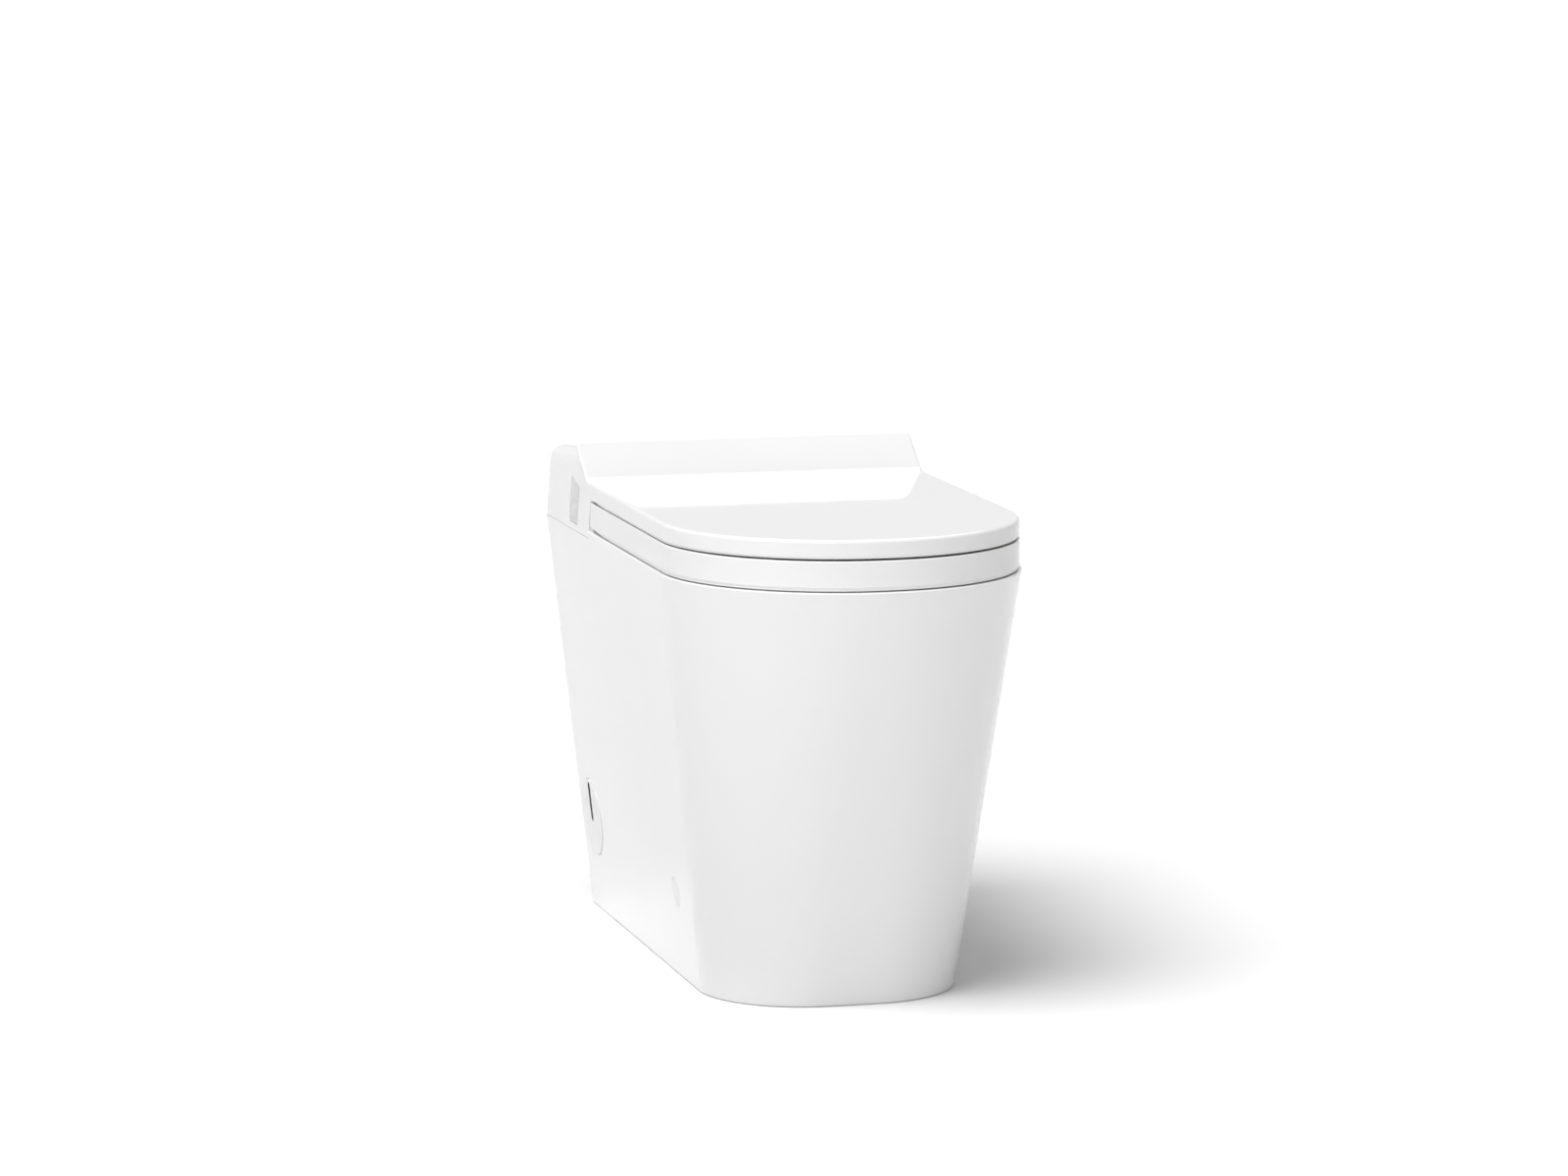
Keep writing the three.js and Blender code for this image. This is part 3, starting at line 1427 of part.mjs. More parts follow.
function damper(sign) {
  const near = seatKnuckleX - slotSideGap - hingeRib - seatGap;
  const [x0, x1] = spanX(sign, near - damperLength, near);
  return rodX(damperRadius, x0, x1, hingeY, hingeHeight - damperDrop, smallSides);
}

addPiece('lid_damper', damper(-1), darkPlastic);
addPiece('seat_damper', damper(1), darkPlastic);

// Wand, its guide and its drive, in a group tilted down towards the bowl.
const wandGroup = new THREE.Group();
wandGroup.position.set(0, wandMouthY, wandMouthHeight);
wandGroup.rotation.x = wandTilt;
smartToilet.add(wandGroup);

function wandShield() {
  return extrudeY(roundedPlate(shieldWidth, shieldHeight, shieldCornerRadius), 0, shieldThickness);
}

function sprayNozzle() {
  const start = shieldThickness + seatGap;
  const body = rodY(wandRadius, start, start + nozzleLength, 0, 0);
  const holes = [1, 2].map((place) => (
    rodZ(sprayHoleRadius, wandRadius / 2, wandRadius + overrun, 0, start + sprayHoleSpacing * place, 8)
  ));
  return cut(body, ...holes);
}

function wandTube() {
  const start = shieldThickness + nozzleLength + 2 * seatGap;
  const half = guideWidth / 2 - guideWall - runGap;
  const tall = guideHeight / 2 - guideWall - runGap;
  const end = start + wandLength - nozzleLength;
  return join(
    rodY(wandRadius, start, end, 0, 0),
    box(-half, half, end - carriageLength, end, -tall, tall),
  );
}

function wandGuide() {
  const front = shieldThickness + guideFrontGap;
  const half = guideWidth / 2;
  const tall = guideHeight / 2;
  return cut(
    box(-half, half, front, front + guideLength, -tall, tall),
    rodY(wandRadius + runGap, front - overrun, front + guideFrontWall + overrun, 0, 0),
    box(
      guideWall - half,
      half - guideWall,
      front + guideFrontWall,
      front + guideLength + overrun,
      guideWall - tall,
      tall - guideWall,
    ),
  );
}

addPiece('wand_shield', wandShield(), whitePlastic, wandGroup);
addPiece('spray_nozzle', sprayNozzle(), steel, wandGroup);
addPiece('wand_tube', wandTube(), steel, wandGroup);
addPiece('wand_guide', wandGuide(), greyPlastic, wandGroup);

function wandMotor() {
  const x = guideWidth / 2 + seatGap;
  const gearY = wandMotorY - wandMotorRadius;
  return join(
    rodX(wandMotorRadius, x, x + wandMotorLength, wandMotorY, wandMotorRadius / 2),
    box(x, x + wandGearWidth, gearY, gearY + wandGearLength, 0, wandMotorRadius),
  );
}

addPiece('wand_motor', wandMotor(), darkPlastic, wandGroup);

// Appliances standing on the base plate.
function roundedBox(x, y0, width, depth, height, round) {
  const outline = roundedPlate(width, depth, round).getPoints(arcSteps);
  const placed = outline.map((point) => new THREE.Vector2(point.x + x, point.y + y0 + depth / 2));
  return prismZ(placed, unitFloor, unitFloor + height);
}

function waterHeater() {
  const frontY = unitBackY - heaterDepth;
  const tank = roundedBox(heaterX, frontY, heaterWidth, heaterDepth, heaterHeight, heaterPortRadius);
  const ports = [-1, 1].map((sign) => rodY(
    heaterPortRadius,
    frontY - heaterPortLength,
    frontY + heaterPortLength,
    heaterX + (sign * heaterWidth) / 4,
    unitFloor + heaterHeight / 2,
    smallSides,
  ));
  return join(tank, ...ports);
}

addPiece('water_heater', waterHeater(), pipePlastic);
addPiece(
  'control_box',
  roundedBox(boxX, unitBackY - boxDepth, boxWidth, boxDepth, boxHeight, boxRound),
  darkPlastic,
);

const fanY = unitBackY - fanRadius;

function dryerFan() {
  const spoutFar = fanX - fanRadius;
  const volute = join(
    rodZ(fanRadius, unitFloor, unitFloor + fanHeight, fanX, fanY),
    box(spoutFar, fanX, fanY - fanRadius, fanY, unitFloor, unitFloor + ductHeight),
  );
  return cut(volute, rodZ(
    fanInletRadius,
    unitFloor + fanHeight - fanInletDepth,
    unitFloor + fanHeight + overrun,
    fanX,
    fanY,
  ));
}

addPiece('dryer_fan', dryerFan(), darkPlastic);

function dryerDuct() {
  const near = ductX - ductWidth / 2 + seatGap;
  const far = ductX + ductWidth / 2 - seatGap;
  const spoutX = fanX - fanRadius - seatGap;
  const backY = fanY - ductWall;
  const top = unitFloor + ductHeight - seatGap;
  const outer = join(
    box(near, far, ductFrontY, backY, unitFloor, top),
    box(far - ductWall, spoutX, fanY - fanRadius, backY, unitFloor, top),
  );
  const inner = join(
    box(
      near + ductWall,
      far - ductWall,
      ductFrontY - overrun,
      backY - ductWall,
      unitFloor + ductWall,
      top - ductWall,
    ),
    box(
      near + 2 * ductWall,
      spoutX + overrun,
      fanY - fanRadius + ductWall,
      backY - ductWall,
      unitFloor + ductWall,
      top - ductWall,
    ),
  );
  return cut(outer, inner);
}

addPiece('dryer_duct', dryerDuct(), pipePlastic);

function deodoriserFilter() {
  const y0 = filterY - filterDepth / 2;
  const body = roundedBox(filterX, y0, filterWidth, filterDepth, filterHeight, boxRound);
  const pitch = filterWidth / (filterSlots + 1);
  const slots = Array.from({ length: filterSlots }, (_, i) => {
    const x = filterX - filterWidth / 2 + pitch * (i + 1);
    const low = unitFloor + filterHeight - filterSlotWidth;
    return box(
      x - filterSlotWidth / 2,
      x + filterSlotWidth / 2,
      y0 + boxRound,
      y0 + filterDepth - boxRound,
      low,
      unitFloor + filterHeight + overrun,
    );
  });
  return cut(body, ...slots);
}

addPiece('deodoriser_filter', deodoriserFilter(), greyPlastic);

function powerGland() {
  const inner = bodyBack - housingWall - glandLength;
  const collar = rodY(glandRadius, inner, bodyBack - housingWall - seatGap, glandX, glandHeight, smallSides);
  const neck = rodY(glandNeckRadius - seatGap, inner, bodyBack, glandX, glandHeight, smallSides);
  const bore = rodY(glandBoreRadius, inner - overrun, bodyBack + overrun, glandX, glandHeight, smallSides);
  return cut(join(collar, neck), bore);
}

addPiece('power_gland', powerGland(), darkPlastic);

// Flush works behind the bowl: a cradle that hangs from the deck, the pump, the valve and the rim pipe.
const cradleBackY = bodyBack - wellBackMargin - cradleThickness - seatGap;

function pumpCradle() {
  const shape = new THREE.Shape();
  const top = cradleTop;
  const t = cradleThickness;
  shape.moveTo(cradleFrontY, cradleFloorHeight);
  shape.lineTo(cradleBackY, cradleFloorHeight);
  shape.lineTo(cradleBackY, top);
  shape.lineTo(cradleBackY - t, top);
  shape.lineTo(cradleBackY - t, cradleFloorHeight + t);
  shape.lineTo(cradleFrontY + t, cradleFloorHeight + t);
  shape.lineTo(cradleFrontY + t, top);
  shape.lineTo(cradleFrontY - cradleFlange, top);
  shape.lineTo(cradleFrontY - cradleFlange, top - t);
  shape.lineTo(cradleFrontY, top - t);
  return cut(
    extrudeX(shape, cradleX - cradleWidth / 2, cradleX + cradleWidth / 2),
    rodY(
      pipeRadius + cradleHoleGap,
      rearHollowFrontY,
      cradleFrontY + overrun,
      cradleX,
      pipePortHeight,
      smallSides,
    ),
  );
}

addPiece('pump_cradle', pumpCradle(), steel);

const pumpFloor = cradleFloorHeight + cradleThickness + seatGap;
const pumpHeight = pumpFloor + pumpRadius;
const pumpFrontY = cradleFrontY + cradleThickness + seatGap;

function flushPump() {
  const spoutTop = pumpHeight + pumpRadius + pipeBend;
  const middleY = pumpFrontY + pumpLength / 2;
  const motorEndY = pumpFrontY + pumpLength + pumpMotorLength;
  return join(
    rodY(pumpRadius, pumpFrontY, pumpFrontY + pumpLength, cradleX, pumpHeight),
    rodY(pumpMotorRadius, middleY, motorEndY, cradleX, pumpHeight),
    rodZ(pumpSpoutRadius, pumpHeight, spoutTop, cradleX, middleY, smallSides),
  );
}

addPiece('flush_pump', flushPump(), darkPlastic);

function rimPipe() {
  const y = pumpFrontY + pumpLength / 2;
  const from = pumpHeight + pumpRadius + pipeBend + seatGap;
  const to = bowlCentreY + bowlRearReach * pipePortShare;
  const route = bentRoute(cradleX, [[y, from], [y, pipePortHeight], [to, pipePortHeight]], pipeBend);
  const bore = bentRoute(
    cradleX,
    [[y, from - overrun], [y, pipePortHeight], [to - overrun, pipePortHeight]],
    pipeBend,
  );
  return cut(tube(route, pipeRadius, pipeSteps), tube(bore, pipeRadius - pipeWall, pipeSteps));
}

addPiece('rim_pipe', rimPipe(), pipePlastic);

function inletValve() {
  const wallInner = bodyBack - skirtWall - seatGap;
  return join(
    box(
      valveX - valvePlateWidth / 2,
      valveX + valvePlateWidth / 2,
      wallInner - valvePlateThickness,
      wallInner,
      valveHeight - valveRadius,
      valveHeight + valveRadius + valveLength,
    ),
    rodZ(valveRadius, valveHeight, valveHeight + valveLength, valveX, wallInner - valveRadius, smallSides),
    rodX(
      valveStubRadius,
      valveX,
      valveX + valveRadius + valveStubLength,
      wallInner - valveRadius,
      valveHeight + valveStubRadius,
      smallSides,
    ),
  );
}

addPiece('inlet_valve', inletValve(), brass);

export default smartToilet;
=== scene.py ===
"""Smart toilet: the looks of a skirted ceramic toilet with an integrated seat unit."""

import math

import bmesh
import bpy
import numpy as np
from mathutils import Matrix, Vector


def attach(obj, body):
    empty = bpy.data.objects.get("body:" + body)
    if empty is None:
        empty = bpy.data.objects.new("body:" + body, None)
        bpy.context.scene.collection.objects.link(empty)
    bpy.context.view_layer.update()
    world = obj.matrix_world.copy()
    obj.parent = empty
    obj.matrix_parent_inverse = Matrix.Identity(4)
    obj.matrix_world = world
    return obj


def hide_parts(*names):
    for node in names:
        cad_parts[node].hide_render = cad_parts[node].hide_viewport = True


bl_info = {
    "name": "Smart toilet",
    "version": (1, 0, 0),
    "blender": (4, 5, 0),
    "location": "3D View > Sidebar > Toilet",
    "description": "Builds the ceramic body, seat unit, lid and fittings around the packed frame",
    "category": "Object",
}

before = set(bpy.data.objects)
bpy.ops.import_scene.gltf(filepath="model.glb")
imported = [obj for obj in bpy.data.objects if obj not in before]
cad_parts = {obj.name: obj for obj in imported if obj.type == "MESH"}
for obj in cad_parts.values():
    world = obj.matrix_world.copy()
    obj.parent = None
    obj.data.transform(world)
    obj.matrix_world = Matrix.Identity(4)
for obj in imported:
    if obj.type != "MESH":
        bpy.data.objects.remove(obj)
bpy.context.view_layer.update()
MM = 0.001
SAME_POINT = 2e-6                   # metres between two points that are merged
FLAT_WITHIN = math.radians(0.3)     # faces closer than this become one flat face
SHARP_EDGE = math.radians(40)       # edges sharper than this are rounded
EGG_POINTS = 160

# Sizes in millimetres, the same as in the part's source
FOOT = dict(half=127.6, front=-221.1, corner=101.2, nose=590)
GROWTH = dict(half=48.5, front=-119.5, corner=70.3, nose=-127)     # from the foot to the rim
WALL = 12.0                         # thickness of the ceramic
BACK = 340.6                        # the wall face
RIM_Z = 420.0
DECK_Z = 412.0                      # the ceramic deck under the seat unit
DECK_Y = 143.2                      # its front edge
HOLLOW_Z = 380.0                    # roof of the hollow in the skirt
BOWL_Y = -60.0                      # where the bowl is widest
HOUSING_Y = 143.5                   # front face of the rear housing
PLATE_Z = 412.3                     # underside of the base plate
UNIT_Z = 416.6                      # where the works stand on it
LID_LOW = 452.4
LID_TOP = 469.2
RING_LOW = 424.0
RING_TOP = 449.4
HINGE = (213.0, 490.0)              # axis of lid and seat, (y, z)
WAND_TILT = math.atan2(49.0, 183.1)
CREST_Z = 499.1                     # top of the rear housing
LID_END = (207.0, 505.0)            # rear end of the lid's sweep, (y, z)
SWEEP_FOOT = (143.0, 456.7)         # both ends of its straight underside, (y, z)
SWEEP_HEAD = (199.0, 497.5)
SWEEP_SLOPE = (SWEEP_HEAD[1] - SWEEP_FOOT[1]) / (SWEEP_HEAD[0] - SWEEP_FOOT[0])
SQUARENESS = 2.25                   # power of the egg's super-ellipses
COVER_AT = (285.6, 101)             # middle of the access cover, (y, z)
CAP_AT = (-70, 90)                  # middle of the bolt cap, (y, z)
TRAP_Y = 175.0                      # where the trapway comes down
FLANGE_AT = (0, 35.6, 0)            # the drain's axis at the floor
SOCKET_AT = (0, TRAP_Y, 0)
RIM_PIPE_Z = 352.0
DECK_BOLT = (94, 172)               # a deck bolt's axis, (x, y)
SEAT_ARMS = (84, (126, 436), 6.5)   # near side, start as (y, z) and half thickness
LID_ARMS = (112, (168, 474.5), 5)
ARM_WIDTH = 20
OVERRUN = 5.0                       # how far a cutter reaches past the face that it opens


# Meshes

def recalculated(mesh):
    """Faces of a closed shell turned outwards."""
    work = bmesh.new()
    work.from_mesh(mesh)
    bmesh.ops.recalc_face_normals(work, faces=work.faces)
    work.to_mesh(mesh)
    work.free()
    return mesh


def piece(name, points, faces):
    """An object at the origin whose mesh holds these points, given in millimetres."""
    mesh = bpy.data.meshes.new(name)
    mesh.from_pydata((np.asarray(points, float) * MM).tolist(), [], faces)
    recalculated(mesh)
    obj = bpy.data.objects.new(name, mesh)
    bpy.context.scene.collection.objects.link(obj)
    return obj


def skin_faces(rings, count, wrap=False, first=0):
    """Faces between rings of equal count, from the first side on."""
    faces = []
    for low in range(rings if wrap else rings - 1):
        here, above = low * count, (low + 1) % rings * count
        for side in range(first, count):
            after = (side + 1) % count
            faces.append((here + side, here + after, above + after, above + side))
    return faces


def loft(name, rings, wrap=False):
    """A skin through rings of equal count, closed by a flat cap at each end or round on itself."""
    rings = np.asarray(rings, float)
    total, count = rings.shape[:2]
    faces = skin_faces(total, count, wrap)
    if not wrap:
        faces.append(tuple(range(count)))
        faces.append(tuple(range((total - 1) * count, total * count)))
    return piece(name, rings.reshape(-1, 3), faces)


def applied(obj, spent=()):
    """The evaluated mesh put in the place of the modifiers; spent helpers go."""
    graph = bpy.context.evaluated_depsgraph_get()
    mesh = bpy.data.meshes.new_from_object(
        obj.evaluated_get(graph), preserve_all_data_layers=True, depsgraph=graph)
    obj.modifiers.clear()
    old = obj.data
    obj.data = mesh
    mesh.name = obj.name
    bpy.data.meshes.remove(old)
    for helper in spent:
        data = helper.data
        bpy.data.objects.remove(helper)
        bpy.data.meshes.remove(data)
    return obj


def boolean(whole, helpers, operation):
    """The piece cut or joined; the faces that a helper leaves keep the helper's finish."""
    for helper in helpers:
        if whole.data.materials and not helper.data.materials:
            helper.data.materials.append(whole.data.materials[0])
        modifier = whole.modifiers.new(operation.lower(), "BOOLEAN")
        modifier.operation = operation
        modifier.solver = "MANIFOLD"
        modifier.material_mode = "TRANSFER"
        modifier.object = helper
    return applied(whole, helpers)


def carve(whole, *cutters):
    """The piece without what the cutters fill."""
    return boolean(whole, cutters, "DIFFERENCE")


def join(whole, *others):
    """The piece made one with the others."""
    return boolean(whole, others, "UNION")


def tidy_flats(obj):
    """Flat fans of triangles back into whole faces."""
    work = bmesh.new()
    work.from_mesh(obj.data)
    bmesh.ops.remove_doubles(work, verts=work.verts, dist=SAME_POINT)
    bmesh.ops.dissolve_limit(
        work, angle_limit=FLAT_WITHIN, verts=work.verts, edges=work.edges,
        use_dissolve_boundaries=False)
    work.to_mesh(obj.data)
    work.free()
    return obj


def rounded(obj, width):
    """A small round along every sharp edge."""
    modifier = obj.modifiers.new("edge round", "BEVEL")
    modifier.width = width * MM
    modifier.segments = 2
    modifier.limit_method = "ANGLE"
    modifier.angle_limit = SHARP_EDGE
    modifier.miter_outer = "MITER_ARC"
    modifier.use_clamp_overlap = True
    return applied(obj)


def smooth(obj, sharp):
    """Smooth shading that keeps the corners sharper than this many degrees."""
    mesh = obj.data
    mesh.polygons.foreach_set("use_smooth", [True] * len(mesh.polygons))
    mesh.set_sharp_from_angle(angle=math.radians(sharp))
    modifier = obj.modifiers.new("even shading", "WEIGHTED_NORMAL")
    modifier.keep_sharp = True
    modifier.weight = 60
    return applied(obj)


def mirrored(obj, name):
    """The same piece on the other side."""
    mesh = obj.data.copy()
    mesh.name = name
    mesh.transform(Matrix.Scale(-1, 4, (1, 0, 0)))
    mesh.flip_normals()
    twin = bpy.data.objects.new(name, mesh)
    bpy.context.scene.collection.objects.link(twin)
    return twin


def moved(obj, matrix):
    """The piece with a matrix applied to its mesh."""
    obj.data.transform(matrix)
    return obj


def shift(*place):
    """The matrix that moves by this many millimetres."""
    return Matrix.Translation(Vector(place) * MM)


def turn_by(degrees, axis="Z"):
    """The matrix that turns about an axis through the origin."""
    return Matrix.Rotation(math.radians(degrees), 4, axis)


# Outlines

def arc(cx, cy, radius, start, end, steps):
    """Points along an arc between two angles in degrees."""
    angles = np.radians(np.linspace(start, end, steps + 1))
    return np.stack([cx + radius * np.cos(angles), cy + radius * np.sin(angles)], 1)


def plan_outline(half, front, corner, nose, back, inset=0.0, back_corner=0.0, back_inset=None,
                 fine=1.0, backs=0):
    """A level outline: parallel sides, two corner arcs and a wide nose arc, all tangent."""
    half, corner, nose_in = half - inset, corner - inset, nose - inset
    back = back - (inset if back_inset is None else back_inset)
    bc = max(back_corner - inset, 0.3) if back_corner else 0.0
    centre = front + nose
    reach = half - corner
    corner_y = centre - math.sqrt((nose_in - corner) ** 2 - reach ** 2)
    meet = math.degrees(math.atan2(corner_y - centre, -reach)) + 360
    sides = np.linspace(0, 1, 13)[1:-1, None]
    steps = int(40 * fine)
    left_top = np.array([[-half, back - bc]])
    left_low = np.array([[-half, corner_y]])
    parts = []
    if bc:
        row = np.linspace(half - bc, bc - half, backs + 2)[1:-1]
        parts += [arc(half - bc, back - bc, bc, 0, 90, 6), np.stack([row, np.full(backs, back)], 1),
                  arc(bc - half, back - bc, bc, 90, 180, 6)]
    else:
        parts += [np.array([[half, back]]), left_top]
    parts += [
        left_top + (left_low - left_top) * sides,
        arc(-reach, corner_y, corner, 180, meet, steps)[:-1],
        arc(0, centre, nose_in, meet, 540 - meet, steps)[:-1],
        arc(reach, corner_y, corner, 540 - meet, 360, steps),
    ]
    right_low = left_low * [-1, 1]
    right_top = left_top * [-1, 1]
    parts.append(right_low + (right_top - right_low) * sides)
    return np.concatenate(parts)


def level(points, z):
    """A flat outline at a height."""
    return np.column_stack([points, np.full(len(points), float(z))])


def egg(half, front, rear, angles=None):
    """Two half super-ellipses that share their widest chord, by direction from the centre."""
    turn = np.linspace(0, 2 * math.pi, EGG_POINTS, endpoint=False) if angles is None else angles
    across, along = np.cos(turn), np.sin(turn)
    reach = np.where(along > 0, rear, front)
    power = SQUARENESS
    radius = (np.abs(across / half) ** power + np.abs(along / reach) ** power) ** (-1 / power)
    return np.stack([radius * across, BOWL_Y + radius * along], 1)


def round_rect(width, height, radius, steps=6, cx=0.0, cy=0.0):
    """Counter-clockwise rounded rectangle."""
    a, b = width / 2 - radius, height / 2 - radius
    return np.concatenate([
        arc(cx + a, cy - b, radius, -90, 0, steps), arc(cx + a, cy + b, radius, 0, 90, steps),
        arc(cx - a, cy + b, radius, 90, 180, steps), arc(cx - a, cy - b, radius, 180, 270, steps)])


def prism(name, outline, low, high, axis="Z"):
    """A straight prism of a flat outline; along X the outline is (y, z), along Y it is (x, z)."""
    outline = np.asarray(outline, float)
    ends = []
    for at in (low, high):
        fixed = np.full(len(outline), float(at))
        columns = {"Z": (outline[:, 0], outline[:, 1], fixed),
                   "X": (fixed, outline[:, 0], outline[:, 1]),
                   "Y": (outline[:, 0], fixed, outline[:, 1])}[axis]
        ends.append(np.stack(columns, 1))
    return loft(name, ends)


def block(name, x0, x1, y0, y1, z0, z1):
    """A box by its two limits along each axis."""
    return prism(name, [(x0, y0), (x1, y0), (x1, y1), (x0, y1)], z0, z1)


def circle(radius, along, angles, axis, at):
    """A ring about an axis through a point; the radius may change with the angle."""
    a, b, c = radius * np.cos(angles), radius * np.sin(angles), np.full(len(angles), float(along))
    columns = {"Z": (a, b, c), "X": (c, a, b), "Y": (a, c, b)}[axis]
    return np.stack(columns, 1) + np.asarray(at, float)


def turned(name, profile, sides=64, axis="Z", at=(0, 0, 0), wrap=False):
    """A turned piece: profile of (radius, height) pairs about an axis through a point."""
    angles = np.linspace(0, 2 * math.pi, sides, endpoint=False)
    return loft(name, [circle(radius, height, angles, axis, at) for radius, height in profile], wrap)


def rod(name, radius, low, high, axis="Z", at=(0, 0, 0), edge=0.0, sides=48):
    """A round bar with rounded ends."""
    steps = np.radians([0, 22.5, 45, 67.5, 90]) if edge else []
    near_end = [(radius - edge * (1 - math.sin(t)), low + edge * (1 - math.cos(t))) for t in steps]
    far_end = [(r, low + high - z) for r, z in reversed(near_end)]
    return turned(name, (near_end + far_end) or [(radius, low), (radius, high)], sides, axis, at)


def round_steps(radius, steps=6):
    """Pairs of inset and drop along a quarter round, from the side to the flat."""
    angles = np.radians(np.linspace(0, 90, steps + 1))
    return [(radius * (1 - math.cos(t)), radius * (1 - math.sin(t))) for t in angles]


def eased(values, at, where):
    """Values through a smooth monotone curve (Fritsch-Carlson)."""
    at, values = np.asarray(at, float), np.asarray(values, float)
    h = np.diff(at)
    slope = np.diff(values) / h
    grade = np.concatenate([[slope[0]], np.zeros(len(slope) - 1), [slope[-1]]])
    for i in range(1, len(slope)):
        if slope[i - 1] * slope[i] > 0:
            w1, w2 = 2 * h[i] + h[i - 1], h[i] + 2 * h[i - 1]
            grade[i] = (w1 + w2) / (w1 / slope[i - 1] + w2 / slope[i])
    k = np.clip(np.searchsorted(at, where, "right") - 1, 0, len(h) - 1)
    t = (where - at[k]) / h[k]
    return ((1 + 2 * t) * (1 - t) ** 2 * values[k] + t * (1 - t) ** 2 * h[k] * grade[k]
            + t * t * (3 - 2 * t) * values[k + 1] + t * t * (t - 1) * h[k] * grade[k + 1])


def bent_path(corners, bend, steps=12):
    """A path of straight runs joined by arcs of one bend radius."""
    corners = [Vector(c) for c in corners]
    points = [corners[0]]
    for before, here, after in zip(corners, corners[1:], corners[2:]):
        inward, outward = (here - before).normalized(), (after - here).normalized()
        turn = inward.angle(outward)
        leg = bend * math.tan(turn / 2)
        centre_way = (outward - inward).normalized()
        centre = here + centre_way * (bend / math.cos(turn / 2))
        spoke = here - inward * leg - centre
        pole = inward.cross(outward).normalized()
        for step in range(steps + 1):
            points.append(centre + Matrix.Rotation(turn * step / steps, 3, pole) @ spoke)
    points.append(corners[-1])
    return points


def pipe(name, path, radius, sides=40):
    """A round bar along a path in the Y-Z plane."""
    rings = []
    angles = np.linspace(0, 2 * math.pi, sides, endpoint=False)
    for i, point in enumerate(path):
        ahead, behind = path[min(i + 1, len(path) - 1)], path[max(i - 1, 0)]
        along = (ahead - behind).normalized()
        across = Vector((1, 0, 0))
        up = along.cross(across)
        rings.append([point + across * (radius * math.cos(t)) + up * (radius * math.sin(t))
                      for t in angles])
    return loft(name, rings)


# Finishes

def feed(tree, socket, value):
    """Links a socket, or sets any other value."""
    if isinstance(value, bpy.types.NodeSocket):
        tree.links.new(value, socket)
    else:
        socket.default_value = value


def node(tree, kind, **inputs):
    """A node whose inputs are given by name, with _ for a space."""
    made = tree.nodes.new(kind)
    for key, value in inputs.items():
        feed(tree, made.inputs[key.replace("_", " ")], value)
    return made


def shader_group(name, inputs, outputs):
    """A new shader node group with named inputs and outputs, and its two end nodes."""
    group = bpy.data.node_groups.new(name, "ShaderNodeTree")
    for title, kind, default in inputs:
        socket = group.interface.new_socket(name=title, in_out="INPUT", socket_type=kind)
        if default is not None:
            socket.default_value = default
    for title, kind in outputs:
        group.interface.new_socket(name=title, in_out="OUTPUT", socket_type=kind)
    return group, group.nodes.new("NodeGroupInput"), group.nodes.new("NodeGroupOutput")


def math_node(tree, operation, a, b):
    """The result of one sum on two sockets or values."""
    made = tree.nodes.new("ShaderNodeMath")
    made.operation = operation
    feed(tree, made.inputs[0], a)
    feed(tree, made.inputs[1], b)
    return made.outputs[0]


def noise(tree, place, scale, **more):
    """The value of a cloudy pattern."""
    return node(tree, "ShaderNodeTexNoise", Vector=place, Scale=scale, **more).outputs["Fac"]


def spread(tree, value, **limits):
    """The middle of a pattern's values spread over the whole range between two limits."""
    made = node(tree, "ShaderNodeMapRange", Value=value, From_Min=0.3, From_Max=0.7, **limits)
    return made.outputs["Result"]


def effect_group(name, numbers, outputs):
    """A group that reads a place and some numbers; returns it, its inputs and its outputs."""
    inputs = [("Vector", "NodeSocketVector", None)]
    inputs += [(title, "NodeSocketFloat", default) for title, default in numbers]
    group, start, end = shader_group(name, inputs, [(title, "NodeSocketFloat") for title in outputs])
    return group, start.outputs, end.inputs


